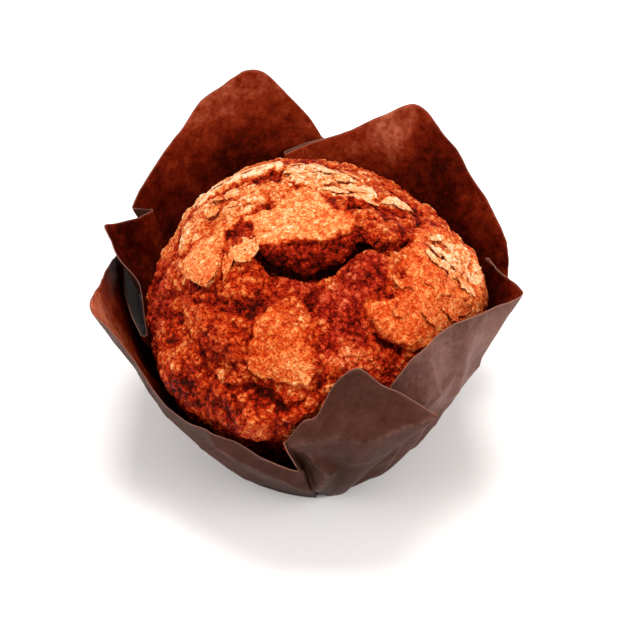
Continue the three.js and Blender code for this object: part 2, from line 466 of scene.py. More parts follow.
def grain_group() -> bpy.types.NodeTree:
    """The fine grain that crumb, crust and paper share.

    Grains are a packing of cells, shaken by noise, with round tops and sharp gaps. Hills of two
    sizes give a mottling. Pits are small middles of cells where the hills are low. Chance is a
    random value for each large grain. Size is in grains to the metre.

    Returns:
        The group. It takes a place and a size, and gives four numbers from 0 to 1.
    """
    tree = bpy.data.node_groups.new("fine_grain", "ShaderNodeTree")
    for name, kind, way in (
        ("Place", "NodeSocketVector", "INPUT"),
        ("Size", "NodeSocketFloat", "INPUT"),
        ("Mottle", "NodeSocketFloat", "OUTPUT"),
        ("Grains", "NodeSocketFloat", "OUTPUT"),
        ("Pits", "NodeSocketFloat", "OUTPUT"),
        ("Chance", "NodeSocketFloat", "OUTPUT"),
    ):
        tree.interface.new_socket(name, in_out=way, socket_type=kind)
    shader = Shader(tree)
    given = shader.node("NodeGroupInput")
    result = shader.node("NodeGroupOutput")
    place, size = given.outputs["Place"], given.outputs["Size"]
    hills = []
    for factor in (0.8, 2.3):
        node = shader.node("ShaderNodeTexNoise")
        shader.feed(node.inputs["Vector"], place)
        shader.feed(node.inputs["Scale"], shader.math("MULTIPLY", size, factor))
        shader.feed(node.inputs["Detail"], 3.0)
        shader.feed(node.inputs["Roughness"], 0.6)
        hills.append(node)
    shake = shader.node("ShaderNodeVectorMath", operation="MULTIPLY_ADD")
    shader.feed(shake.inputs[0], hills[0].outputs["Color"])
    reach = shader.node("ShaderNodeCombineXYZ")
    for socket in reach.inputs:
        shader.feed(socket, shader.math("DIVIDE", 1.2, size))
    shader.feed(shake.inputs[1], reach.outputs[0])
    shader.feed(shake.inputs[2], place)
    cells = []
    for factor in (1.0, 2.1):
        node = shader.node("ShaderNodeTexVoronoi")
        shader.feed(node.inputs["Vector"], shake.outputs[0])
        shader.feed(node.inputs["Scale"], shader.math("MULTIPLY", size, factor))
        cells.append(node)
    large = shader.spread(shader.math("POWER", cells[0].outputs["Distance"], 2.0), 0.0, 0.6, 0.7, 0.0)
    small = shader.spread(shader.math("POWER", cells[1].outputs["Distance"], 2.0), 0.0, 0.6, 0.3, 0.0)
    near = shader.spread(cells[1].outputs["Distance"], 0.16, 0.36, 1.0, 0.0)
    chance = shader.node("ShaderNodeSeparateColor")
    shader.feed(chance.inputs["Color"], cells[0].outputs["Color"])
    low = shader.spread(hills[0].outputs["Fac"], 0.4, 0.54, 1.0, 0.0)
    fine = shader.math("MULTIPLY", hills[1].outputs["Fac"], 0.4)
    shader.feed(result.inputs["Mottle"], shader.math("MULTIPLY_ADD", hills[0].outputs["Fac"], 0.6, fine))
    shader.feed(result.inputs["Grains"], shader.math("ADD", large, small))
    shader.feed(result.inputs["Pits"], shader.math("MULTIPLY", near, low))
    shader.feed(result.inputs["Chance"], chance.outputs["Red"])
    return tree


def new_material(name: str) -> tuple[bpy.types.Material, Shader, bpy.types.Node]:
    """Makes a material with one Principled surface.

    Args:
        name: the material's name.

    Returns:
        The material, its shader builder and its Principled node.
    """
    material = bpy.data.materials.new(name)
    material.use_nodes = True
    material.node_tree.nodes.clear()
    shader = Shader(material.node_tree)
    surface = shader.node("ShaderNodeBsdfPrincipled")
    output = shader.node("ShaderNodeOutputMaterial")
    shader.feed(output.inputs["Surface"], surface.outputs["BSDF"])
    return material, shader, surface


@dataclass(frozen=True)
class BakedFinish:
    """Baked crumb and crust: its colour runs from burnt dark red through orange to cream.

    Attributes:
        dry: colours of dry crust by tone.
        moist: colours of moist crumb by tone.
        sheen: tint of its gloss.
        specular: strength of its gloss.
        crumb_size: size of a crumb.
        dust_size: size of a grain of dust.
        gloss_size: size of its glossy spots.
        dust_mottle: how far the dust's mottling shades the tone.
        crumb_mottle: how far that of the crumbs does.
        crumb_painted_shading: painted shade in the gaps between crumbs and painted light on their tops.
        crumb_chance: random shade of a crumb.
        flat_shade: share of the crumbs' painted shade and light, and of their random shade, that smooth
            crust keeps.
        dust_painted_shading: painted shade in the gaps in the dust and painted light on its tops.
        pit_shade: painted shade in a pit.
        roughness: from the glossiest spots to the dullest.
        crumb_relief: height of the crumbs' bump.
        flat_relief: share of that height that smooth crust keeps.
        dust_relief: height of the dust, as a share.
        pit_relief: height of a pit, as a share.
    """

    dry: Stops = (
        (0.0, (48, 2, 0)),
        (0.18, (112, 11, 1)),
        (0.36, (156, 31, 5)),
        (0.52, (182, 61, 17)),
        (0.66, (197, 93, 42)),
        (0.8, (215, 132, 71)),
        (0.91, (226, 159, 107)),
        (1.0, (229, 188, 150)),
    )
    moist: Stops = (
        (0.0, (20, 0, 0)),
        (0.25, (92, 4, 2)),
        (0.45, (140, 19, 8)),
        (0.65, (172, 49, 28)),
        (0.85, (200, 92, 63)),
        (1.0, (219, 139, 106)),
    )
    sheen: Colour = (255, 158, 104)
    specular: float = 0.12
    crumb_size: float = 1.3
    dust_size: float = 0.55
    gloss_size: float = 0.9
    dust_mottle: float = 0.12
    crumb_mottle: float = 0.08
    crumb_painted_shading: tuple[float, float] = (-0.24, 0.12)
    crumb_chance: float = 0.1
    flat_shade: float = 0.2
    dust_painted_shading: tuple[float, float] = (-0.13, 0.09)
    pit_shade: float = -0.2
    roughness: tuple[float, float] = (0.36, 0.8)
    crumb_relief: float = 0.85
    flat_relief: float = 0.12
    dust_relief: float = 0.26
    pit_relief: float = -0.15

    def material(self, grain: bpy.types.NodeTree) -> bpy.types.Material:
        """Builds the material. It reads the marks tone, moist and rough from the mesh.

        The tone is the mesh's own, with the mottling of crumbs and dust, painted shade in their
        gaps and pits and painted light on their tops, and it picks a colour on the dry ramp and one
        on the moist ramp.

        Args:
            grain: the node group of fine grain.

        Returns:
            The material.
        """
        material, shader, surface = new_material("baked_crumb")
        place = shader.node("ShaderNodeTexCoord").outputs["Object"]
        crumbs = shader.group(grain, Place=place, Size=1.0 / (self.crumb_size * MM))
        dust = shader.group(grain, Place=place, Size=1.0 / (self.dust_size * MM))
        rough = shader.mark("rough")
        speckle = shader.spread(dust.outputs["Mottle"], 0.36, 0.64, -self.dust_mottle, self.dust_mottle)
        patch = shader.spread(crumbs.outputs["Mottle"], 0.36, 0.64, -self.crumb_mottle, self.crumb_mottle)
        # Painted shade in the gaps between crumbs and painted light on their tops, with a random shade
        # for each crumb.
        relief = shader.spread(crumbs.outputs["Grains"], 0.1, 0.9, *self.crumb_painted_shading)
        chance = shader.spread(crumbs.outputs["Chance"], 0.0, 1.0, -self.crumb_chance, self.crumb_chance)
        relief = shader.math("ADD", relief, chance)
        relief = shader.math("MULTIPLY", relief, shader.spread(rough, 0.0, 1.0, self.flat_shade, 1.0))
        tone = shader.math("ADD", shader.math("ADD", speckle, patch), relief)
        tone = shader.math("ADD", tone, shader.mark("tone"))
        # Painted shade in the gaps and pits of the dust and painted light on its tops.
        tone = shader.math("ADD", tone, shader.spread(dust.outputs["Grains"], 0.1, 0.9, *self.dust_painted_shading))
        tone = shader.math("MULTIPLY_ADD", dust.outputs["Pits"], self.pit_shade, tone)
        dry = shader.ramp(tone, self.dry)
        moist = shader.ramp(tone, self.moist)
        shader.feed(surface.inputs["Base Color"], shader.blend(shader.mark("moist"), dry, moist))
        gloss = shader.spread(shader.noise(place, self.gloss_size), 0.38, 0.6, *self.roughness)
        shader.feed(surface.inputs["Roughness"], gloss)
        shader.feed(surface.inputs["Specular IOR Level"], self.specular)
        shader.feed(surface.inputs["Specular Tint"], srgb(*self.sheen))
        height = shader.spread(rough, 0.0, 1.0, self.flat_relief, 1.0)
        height = shader.math("MULTIPLY", crumbs.outputs["Grains"], height)
        height = shader.math("MULTIPLY_ADD", dust.outputs["Grains"], self.dust_relief, height)
        height = shader.math("MULTIPLY_ADD", dust.outputs["Pits"], self.pit_relief, height)
        shader.feed(surface.inputs["Normal"], shader.bump(height, 1.0, self.crumb_relief))
        return material


@dataclass(frozen=True)
class PaperFinish:
    """Dark brown baking paper, redder and mottled with grease inside, greyer outside.

    Attributes:
        inside: colours of the inside by tone.
        outside: colours of the outside by tone.
        edge: colour of the cut rim.
        ridge_highlight: colour of the painted highlight along a crease's ridge.
        sheen: tint of its gloss.
        roughness: its roughness.
        grease: strength of its gloss.
        blotch_size: size of a blotch.
        fibre_size: size of the fibres' grain.
        sweep_size: size of its broad light and dark places.
        sweep_shade: shade of those.
        blotch_share: share of the blotches in the tone. The rest is fibres.
        pit_shade: shade of a pale speck.
        inside_soak_and_light: tone where fat has soaked in and where the inside is dry, which also
            carries painted light and shade.
        outside_painted_light_range: tone of the outside with no painted light and with the most painted
            light.
        outside_mottle: share of the tone that shows outside.
        ridge_highlight_share: most that the painted highlight covers a crease's ridge.
        fibre_strength: strength of the fibres' bump.
        fibre_relief: height of the fibres' bump.
    """

    inside: Stops = (
        (0.0, (44, 5, 0)),
        (0.3, (88, 18, 4)),
        (0.55, (116, 35, 12)),
        (0.8, (143, 62, 38)),
        (1.0, (172, 92, 66)),
    )
    outside: Stops = (
        (0.0, (32, 15, 10)),
        (0.4, (54, 28, 20)),
        (0.65, (72, 43, 35)),
        (1.0, (112, 80, 72)),
    )
    edge: Colour = (116, 78, 66)
    ridge_highlight: Colour = (126, 92, 80)
    sheen: Colour = (206, 150, 128)
    roughness: float = 0.54
    grease: float = 0.07
    blotch_size: float = 2.6
    fibre_size: float = 0.5
    sweep_size: float = 24.0
    sweep_shade: float = 0.18
    blotch_share: float = 0.75
    pit_shade: float = 0.12
    inside_soak_and_light: tuple[float, float] = (-0.4, 0.32)
    outside_painted_light_range: tuple[float, float] = (-0.06, 0.66)
    outside_mottle: float = 0.45
    ridge_highlight_share: float = 0.34
    fibre_strength: float = 0.35
    fibre_relief: float = 0.12

    def material(self, grain: bpy.types.NodeTree) -> bpy.types.Material:
        """Builds the material. It reads the marks outside, edge, worn, dry and faded.

        Blotches, fibres and broad sweeps make a tone. With the dryness, which carries painted light
        and shade too, it picks the colour of the inside, and with the outside's painted light that of
        the outside. Rims are paler, and the ridges of creases get a painted highlight.

        Args:
            grain: the node group of fine grain.

        Returns:
            The material.
        """
        material, shader, surface = new_material("brown_baking_paper")
        place = shader.node("ShaderNodeTexCoord").outputs["Object"]
        blotch = shader.group(grain, Place=place, Size=1.0 / (self.blotch_size * MM))
        fibre = shader.group(grain, Place=place, Size=1.0 / (self.fibre_size * MM))
        fine = shader.math("MULTIPLY", fibre.outputs["Mottle"], 1.0 - self.blotch_share)
        tone = shader.math("MULTIPLY_ADD", blotch.outputs["Mottle"], self.blotch_share, fine)
        sweep = shader.noise(place, self.sweep_size)
        sweep = shader.spread(sweep, 0.35, 0.65, -self.sweep_shade, self.sweep_shade)
        tone = shader.math("ADD", shader.spread(tone, 0.38, 0.62, 0.26, 0.74), sweep)
        tone = shader.math("MULTIPLY_ADD", fibre.outputs["Pits"], self.pit_shade, tone)
        # The dryness mark carries painted highlights and painted shade on the inside as well as soaking.
        dry = shader.spread(shader.mark("dry"), 0.0, 1.0, *self.inside_soak_and_light)
        # Painted light on the outside: lighter up the wall and at some spots, with painted shade near the
        # foot and at the low front.
        outside_painted_light = shader.spread(shader.mark("outside_painted_light"), 0.0, 1.0, *self.outside_painted_light_range)
        inside = shader.ramp(shader.math("ADD", tone, dry), self.inside)
        outside = shader.math("MULTIPLY_ADD", tone, self.outside_mottle, outside_painted_light)
        outside = shader.ramp(outside, self.outside)
        colour = shader.blend(shader.mark("outside"), inside, outside)
        rim = shader.math("POWER", shader.mark("edge"), 5.0)
        colour = shader.blend(rim, colour, srgb(*self.edge))
        # Painted highlight along the ridges of creases on the outside, broken up by the blotches.
        ridge_highlight_cover = shader.spread(blotch.outputs["Mottle"], 0.4, 0.6, 0.0, self.ridge_highlight_share)
        ridge_highlight_cover = shader.math("MULTIPLY", ridge_highlight_cover, shader.mark("ridge_highlight"))
        ridge_highlight_cover = shader.math("MULTIPLY", ridge_highlight_cover, shader.mark("outside"))
        colour = shader.blend(ridge_highlight_cover, colour, srgb(*self.ridge_highlight))
        shader.feed(surface.inputs["Base Color"], colour)
        shader.feed(surface.inputs["Roughness"], self.roughness)
        shader.feed(surface.inputs["Specular IOR Level"], self.grease)
        shader.feed(surface.inputs["Specular Tint"], srgb(*self.sheen))
        relief = shader.bump(fibre.outputs["Mottle"], self.fibre_strength, self.fibre_relief)
        shader.feed(surface.inputs["Normal"], relief)
        return material


# ---- the cake --------------------------------------------------------------


@dataclass(frozen=True)
class Patch:
    """A part of the crown with a skin of its own, outlined on the crown map.

    Attributes:
        outline: corners on the crown map.
        rise: how far its skin stands above the crumb.
        tone: colour from 0, burnt, to 1, cream.
        smooth: how much it flattens the crumb's pebbles, from 0 to 1.
        moist: how red and moist it is, from 0 to 1.
        edge: width of its border.
        ragged: how far its border wanders.
    """

    outline: Spots
    rise: float
    tone: float
    smooth: float
    moist: float = 0.0
    edge: float = 0.5
    ragged: float = 1.0


@dataclass(frozen=True)
class Crack:
    """A crack in the crust.

    Attributes:
        path: its corners on the crown map.
        width: half its width at the widest place.
        depth: how deep it is.
        ragged: how far it wanders from its path.
    """

    path: Spots
    width: float
    depth: float
    ragged: float = 0.9


@dataclass(frozen=True)
class Lump:
    """A rounded lump of crumb: a bell of a size and a rise round a spot on the crown map."""

    spot: tuple[float, float]
    size: tuple[float, float]
    rise: float


@dataclass
class Burst:
    """Where the crown tore open while it rose.

    The skin behind the tear ends in a lip. A wall of bare crumb drops from the lip to a crevice,
    and a valley of moist crumb leads forwards from there. Everything sinks back and down.

    Attributes:
        lip: the lip's corners on the crown map, from left to right.
        crevice: the crevice's corners there.
        deepest: map X and the crevice's depth below it.
        valley: the valley's path.
        valley_depth: its depth where it starts.
        valley_width: half its width.
        belly: how far the wall bulges, as a share of its height.
        lip_drop: how far the wall starts below the lip, as a share of its height.
        mouth: how far the crevice reaches forwards.
        dark_width: half the width of the crevice's bottom, which sinks further and is painted with shade.
    """

    lip: Spots = field(default_factory=lambda: [
        (-9.2, -7.4), (-8.0, -6.9), (-5.0, -7.0), (-2.0, -6.6), (0.5, -6.7), (2.8, -7.0),
        (4.0, -5.6), (5.8, -4.8), (7.7, -2.6), (9.4, -3.4), (10.5, -4.6)])
    crevice: Spots = field(default_factory=lambda: [
        (-9.2, -7.6), (-7.5, -9.8), (-6.5, -11.7), (-4.0, -12.5), (-0.5, -13.8), (2.0, -13.2),
        (5.0, -11.4), (7.0, -9.5), (8.3, -7.8), (10.5, -6.9)])
    deepest: Spots = field(default_factory=lambda: [
        (-9.2, 0.0), (-7.5, 3.6), (-4.0, 6.4), (0.0, 7.2), (4.0, 6.6), (7.0, 5.2), (8.5, 3.6),
        (10.5, 0.0)])
    valley: Spots = field(default_factory=lambda: [
        (-4.0, -12.0), (1.0, -16.0), (5.0, -20.0), (8.0, -26.0)])
    valley_depth: float = 4.0
    valley_width: float = 6.4
    belly: float = 0.12
    lip_drop: float = 0.1
    mouth: float = 2.2
    dark_width: float = 0.65

    def across(self, spots: Array) -> tuple[Array, Array, Array, Array]:
        """Looks up the tear at each spot.

        Args:
            spots: places on the crown map.

        Returns:
            Map Y of the lip and of the crevice, the crevice's depth, and the share of the way
            from the lip to the crevice.
        """
        rows = [np.interp(spots[:, 0], *zip(*line)) for line in (self.lip, self.crevice, self.deepest)]
        lip, crevice, deepest = rows
        share = np.clip((lip - spots[:, 1]) / np.maximum(lip - crevice, 0.4), 0.0, 1.0)
        return lip, crevice, deepest, share

    def depth(self, spots: Array) -> Array:
        """How far each spot sinks.

        On the wall the depth grows with the share of the way from lip to crevice, less a belly
        that is half a sine wave. In front of the crevice it falls off as a bell, and the valley
        adds a bell across its path whose depth falls along it.

        Args:
            spots: places on the crown map.

        Returns:
            One depth for each spot.
        """
        _, crevice, deepest, share = self.across(spots)
        drop = self.lip_drop * ease(0.0, 0.08, share) * (1.0 - ease(0.1, 0.5, share))
        wall = deepest * (share + drop - self.belly * np.sin(math.pi * share))
        ahead = np.maximum(crevice - spots[:, 1], 0.0)
        close = deepest * np.exp(-((ahead / self.mouth) ** 1.3))
        distance, along = path_distance(spots, self.valley)
        bowl = self.valley_depth * (1.0 - 0.62 * along) * np.exp(-((distance / self.valley_width) ** 2.6))
        bowl = bowl * ease(-0.5, 2.5, ahead)
        return np.where(share < 1.0, wall, np.hypot(close, bowl))

    def wall_mask(self, spots: Array) -> Array:
        """1 on the bare wall between lip and crevice, 0 elsewhere."""
        _, _, deepest, share = self.across(spots)
        return ease(0.0, 0.06, share) * (1.0 - ease(0.96, 1.0, share)) * ease(0.2, 2.2, deepest)

    def crevice_mask(self, spots: Array) -> Array:
        """1 in the bottom of the crevice, where shade is painted."""
        _, crevice, deepest, _ = self.across(spots)
        return np.exp(-(((spots[:, 1] - crevice) / self.dark_width) ** 2)) * ease(0.5, 3.0, deepest)


def crown_patches() -> list[Patch]:
    """The skins and bare places of the crown, in the order in which they cover each other."""
    return [
        Patch([(-9, -8), (-7, -14), (-3, -18), (1, -22), (0, -29), (7, -27), (11, -26), (10, -20),
               (13.5, -16), (14.5, -10), (12.5, -6.5), (7, -8), (3, -14), (-3, -13)],
              0.0, 0.42, 0.0, moist=0.85, edge=2.5, ragged=2.0),
        Patch([(1, -26), (8, -24), (15, -26), (20, -30), (12, -36), (2, -36)], 0.0, 0.52, 0.0,
              moist=0.45, edge=2.0, ragged=2.0),
        Patch([(9.6, -3.4), (10.4, -0.4), (12.6, 0.8), (15, 0), (15.6, -2.4), (14.2, -4.6), (11.4, -5.2)],
              0.0, 0.7, 0.0, moist=0.3, edge=1.6, ragged=1.2),
        Patch([(-26, -3), (-25, 4), (-20, 9), (-14, 7.6), (-8, 8.6), (-3, 8.5), (-2, 4), (-7, 1.5),
               (-12, -0.5), (-14, -3.4), (-19, -2.4)], 0.25, 0.74, 0.2, ragged=1.6),
        Patch([(-40, 2), (-36, 12), (-24, 20), (-10, 26), (-8, 18), (-20, 14), (-27, 7), (-30, -2)],
              0.2, 0.64, 0.15, edge=1.2, ragged=2.5),
        Patch([(-42, -20), (-33, -18), (-28, -9), (-30, -3), (-33, 2), (-36, 9), (-44, 9)],
              0.0, 0.4, 0.0, moist=0.7, edge=2.5, ragged=2.0),
        Patch([(-24, -35), (-14, -36), (-7, -38.5), (-3, -42), (-8, -47), (-26, -42)],
              0.0, 0.34, 0.0, moist=0.25, edge=3.0, ragged=2.0),
        Patch([(-24.6, 10.4), (-19, 14.2), (-12, 16), (-5, 16), (-4.6, 12.8), (-10, 11.8),
               (-16, 10.8), (-21.4, 8.6)], 0.9, 1.04, 0.7, ragged=0.9),
        Patch([(-5, 9), (-4.5, 15), (0, 18), (5, 16), (9, 12.5), (11.5, 8.5), (12, 5), (6, 3.4),
               (3, 3.8), (0, 6)], 0.2, 0.84, 0.1, ragged=1.2),
        Patch([(9, -18.2), (12, -16.8), (14, -15.6), (15.6, -13), (15, -10), (15.6, -7), (16.8, -3),
               (17.6, 0.5), (22, 3.6), (28, 4), (33, 2), (38, -4), (36, -12), (29, -17), (24, -20.5),
               (20, -24), (17, -26), (13.5, -24.2), (11, -22.4), (9.4, -20.4)],
              0.8, 0.64, 0.78, ragged=1.3),
        Patch([(20, 1), (24, 3), (29, 3.4), (32, 1), (32.5, -4), (31, -9), (27, -8.4), (23, -7.6),
               (20.5, -5), (19, -2)], 0.15, 0.76, 0.1, edge=1.6, ragged=1.6),
        Patch([(-13, -25), (-11.5, -21.6), (-9, -19.2), (-6.5, -19), (-4.6, -21), (-2.5, -22.4),
               (-1.7, -24.6), (-3, -27), (-8, -27.5), (-13.5, -26.5)], 0.5, 0.6, 0.7, ragged=1.2),
        Patch([(-15, -27.8), (-11.5, -26.4), (-8, -25), (-4, -25.6), (-1, -28.5), (-0.9, -31),
               (-3.5, -33.2), (-8, -32.4), (-12.5, -32), (-14, -30)], 0.95, 0.67, 0.7, ragged=1.2),
        Patch([(-8, -7), (-5, -7), (-2, -6.6), (0.5, -6.6), (2.8, -7), (3.9, -5.6), (5.8, -4.8),
               (7.6, -2.5), (7.7, -1.1), (6.2, 0.2), (3.8, 1.4), (2.6, 3.2), (2.2, 5.2), (-0.5, 6),
               (-3, 5.2), (-4.5, 3.6), (-6, 1.6), (-8.4, 0.8), (-10.6, 0.4), (-10.8, -1.6), (-9.2, -3.6)],
              0.3, 0.77, 0.8, ragged=0.8),
        Patch([(-12.5, -1), (-9, -0.8), (-8.6, -3.4), (-10.4, -4.4), (-13, -3.4)], -0.3, 0.34, 0.0,
              moist=0.5, ragged=0.8),
        Patch([(12, 4.6), (13.4, 7.2), (15.2, 8), (17, 7.6), (18.3, 5.8), (16.4, 4.7), (14, 4.1)],
              0.7, 0.92, 0.7, ragged=0.6),
        Patch([(-25, -4.6), (-24.4, -8), (-21.6, -9.6), (-20, -11.5), (-18, -12.7), (-16.4, -12.1),
               (-15.3, -9.6), (-14.8, -7), (-13.6, -4.6), (-14.5, -2.4), (-19, -2), (-22, -3)],
              0.6, 0.73, 0.72, ragged=0.8),
    ]


def crown_cracks() -> list[Crack]:
    """The cracks of the crown's skin."""
    return [
        Crack([(8, -7.4), (10, -6.7), (12.5, -6.7), (15, -5), (16.4, -3)], 1.2, 2.4),
        Crack([(6.6, 0.9), (7.6, 2.3), (9, 2.3), (10.8, 2.2)], 0.95, 2.3, 0.6),
        Crack([(-23, -14), (-19, -15.5), (-15, -17.3), (-11, -18.2), (-7, -17.2), (-4, -15.4)], 1.4, 0.8),
        Crack([(-19, -32.3), (-15, -33), (-11.5, -35.4), (-8, -37.2), (-4, -37)], 1.1, 1.4),
        Crack([(9.2, -20.8), (11, -22.8), (13.5, -24.8), (17, -27)], 1.2, 1.1),
        Crack([(22.6, -13.3), (24.5, -12.7), (26.2, -13), (28.6, -11.8)], 0.45, 1.0, 0.3),
        Crack([(-15.8, -12.4), (-15, -9.6), (-14.2, -7)], 0.35, 0.9, 0.2),
        Crack([(-34, -8.4), (-28, -10.6), (-22.5, -11.2), (-18, -14)], 1.3, 1.0),
        Crack([(-19, 8.2), (-15, 10), (-9, 11.4), (-5, 12.2)], 1.0, 1.5, 0.6),
        Crack([(-8.4, 2.1), (-6.2, 2.3)], 0.7, 1.2, 0.4),
        Crack([(0, -26), (-0.3, -30), (-1.2, -34)], 1.0, 0.6),
        Crack([(-28, -18), (-24, -22), (-25, -27), (-20, -31)], 0.9, 0.7, 1.5),
        Crack([(13, 13), (18, 9), (20, 5), (19, 1)], 1.1, 0.9),
        Crack([(-14, 22), (-2, 28), (12, 25), (24, 18)], 1.0, 0.9, 2.5),
        Crack([(-34, 14), (-28, 24), (-16, 34)], 1.0, 0.8, 2.5),
    ]


def crown_lumps() -> list[Lump]:
    """Larger lumps that the crumb rose into."""
    return [
        Lump((12.2, -2.2), (3.9, 3.4), 1.9),
        Lump((10.6, -10.4), (3.2, 2.6), 0.8),
        Lump((-12, -14.6), (4.4, 2.0), 1.0),
        Lump((-22, -21), (4.6, 3.6), 1.2),
        Lump((-17, -24), (2.6, 3.2), 0.9),
        Lump((-14, -38), (5.6, 3.6), 1.2),
        Lump((-22, -34), (4.0, 3.4), 1.0),
        Lump((-29, -27), (4.4, 3.6), 0.9),
        Lump((-4, -40), (4.6, 3.0), 0.9),
        Lump((4, -32), (4.0, 3.4), 0.9),
        Lump((12, -30), (4.2, 3.0), 0.8),
        Lump((0, 12.5), (5.0, 3.2), 0.4),
        Lump((-15, -41), (12, 5.5), 2.6),
        Lump((-33, -28), (9, 10), 3.2),
        Lump((28, 19), (17, 14), -3.3),
        Lump((10, 25), (10, 8), -1.5),
        Lump((-9, 26), (7.0, 5.0), 0.8),
        Lump((14, 30), (8.0, 6.0), 0.7),
    ]


@dataclass(frozen=True)
class PebbleSize:
    """One size of pebble in the crumb.

    Attributes:
        size: typical distance between middles.
        height: how far the pebbles stand out.
        level: how far their tops stand above the bed, as a share of the height.
        seed: picks the packing.
    """

    size: float
    height: float
    level: float
    seed: int


CRUMB = (PebbleSize(8.5, 1.9, 0.4, 91), PebbleSize(4.4, 1.1, 0.45, 101),
         PebbleSize(2.3, 0.6, 0.45, 151), PebbleSize(1.3, 0.2, 0.45, 191))


@dataclass
class Cake:
    """The baked cake: a cone in the paper, and a risen crown above it.

    Its sizes are the same as in the frame. The crown is half an ellipsoid that leans towards +X.

    Attributes:
        foot_radius: radius of the cone at the foot.
        crown_radius: radius at the widest place.
        crown_height: height of the widest place.
        top: height of the top.
        lean: the furthest that it leans.
        lean_height: where it leans furthest.
        foot: height of the underside.
        foot_rounding: height of the rounding at the foot.
        side_share: share of the grid's radius that lies past the crown.
        points_across: points along each side of the grid.
        map_step: step for finding normals, on the crown map.
        hill_size: distance between the crust's broad hills.
        hill_height: height of the hills.
        sinking: how far the bed lies under the smooth cake.
        wall_tones: tone at the top and at the bottom of the bare wall.
        crevice_painted_shade: painted shade in the bottom of the crevice.
        crevice_drop: how far the crevice's bottom drops further.
        fan_mark: the value of every mark at the middle of the underside.
    """

    foot_radius: float = 23.7
    crown_radius: float = 37.8
    crown_height: float = 38.0
    top: float = 66.0
    lean: float = 3.2
    lean_height: float = 48.0
    foot: float = 0.9
    foot_rounding: float = 2.0
    side_share: float = 0.16
    points_across: int = 315
    map_step: float = 0.8
    hill_size: float = 9.0
    hill_height: float = 0.55
    sinking: float = 0.4
    wall_tones: tuple[float, float] = (0.37, 0.26)
    crevice_painted_shade: float = -0.1
    crevice_drop: float = 1.3
    fan_mark: float = 0.4
    burst: Burst = field(default_factory=Burst)

    def lean_at(self, height: Array) -> Array:
        """How far the cake leans at a height: it grows to its most and is gone at the top."""
        rising = self.lean * (np.clip(height, 0.0, self.lean_height) / self.lean_height) ** 2.5
        return np.where(height < self.lean_height, rising,
                        self.lean * (1.0 - ease(self.lean_height, self.top, height)))

    def crown_point(self, spots: Array) -> Array:
        """Finds points of the smooth crown: half an ellipsoid, leaning.

        Args:
            spots: places on the crown map.

        Returns:
            One point for each spot.
        """
        reach = np.hypot(spots[:, 0], spots[:, 1])
        down = 0.5 * math.pi * np.minimum(reach / MAP_EDGE, 1.0)
        turn = spots / np.maximum(reach, 1e-9)[:, None]
        height = self.crown_height + (self.top - self.crown_height) * np.cos(down)
        radius = self.crown_radius * np.sin(down)
        return np.stack([radius * turn[:, 0] + self.lean_at(height), radius * turn[:, 1], height], axis=1)

    def side_point(self, spots: Array) -> Array:
        """Finds points of the side and underside.

        The outline runs down the cone, round the foot and in towards the middle. The share of the
        way along it is how far the spot is past the map's edge.

        Args:
            spots: places past the edge of the crown map.

        Returns:
            One point for each spot.
        """
        reach = np.hypot(spots[:, 0], spots[:, 1])
        turn = spots / np.maximum(reach, 1e-9)[:, None]
        outline = np.array([
            (self.crown_radius, self.crown_height),
            (self.foot_radius + 0.9, self.foot + self.foot_rounding),
            (self.foot_radius + 0.3, self.foot + 0.3 * self.foot_rounding),
            (self.foot_radius - 1.2, self.foot),
            (1.5, self.foot)])
        length = np.concatenate([[0.0], np.cumsum(np.linalg.norm(np.diff(outline, axis=0), axis=1))])
        past_edge = (reach / MAP_EDGE - 1.0) / (1.0 / (1.0 - self.side_share) - 1.0)
        along = np.clip(past_edge, 0.0, 1.0) * length[-1]
        radius = np.interp(along, length, outline[:, 0])
        height = np.interp(along, length, outline[:, 1])
        return np.stack([radius * turn[:, 0] + self.lean_at(height), radius * turn[:, 1], height], axis=1)

    def grid_spots(self) -> Array:
        """Lays out a square grid bent into a disc.

        X is u times the root of 1 less half of v squared, and Y is the same with u and v
        exchanged.

        Returns:
            Places on the crown map, row by row. The crown takes the inner ones.
        """
        side = np.linspace(-1.0, 1.0, self.points_across)
        u, v = np.meshgrid(side, side, indexing="xy")
        disc = np.stack([u * np.sqrt(1.0 - v * v / 2.0), v * np.sqrt(1.0 - u * u / 2.0)], axis=-1)
        return disc.reshape(-1, 2) * MAP_EDGE / (1.0 - self.side_share)

    def smooth_point(self, spots: Array) -> Array:
        """Finds points of the cake before its crust breaks up, with the burst sunk in.

        Args:
            spots: places on the crown map, or past its edge.

        Returns:
            One point for each spot.
        """
        on_crown = np.hypot(spots[:, 0], spots[:, 1]) <= MAP_EDGE
        points = np.where(on_crown[:, None], self.crown_point(spots), self.side_point(spots))
        return points + (self.burst.depth(spots) * on_crown)[:, None] * BACK_AND_DOWN

    def normal_at(self, spots: Array) -> Array:
        """Finds the smooth cake's normals from two small steps on the crown map.

        Args:
            spots: places on the crown map.

        Returns:
            One unit normal for each spot.
        """
        here = self.smooth_point(spots)
        right = self.smooth_point(spots + np.array([self.map_step, 0.0])) - here
        back = self.smooth_point(spots + np.array([0.0, self.map_step])) - here
        normal = np.cross(right, back)
        return normal / np.linalg.norm(normal, axis=1, keepdims=True)

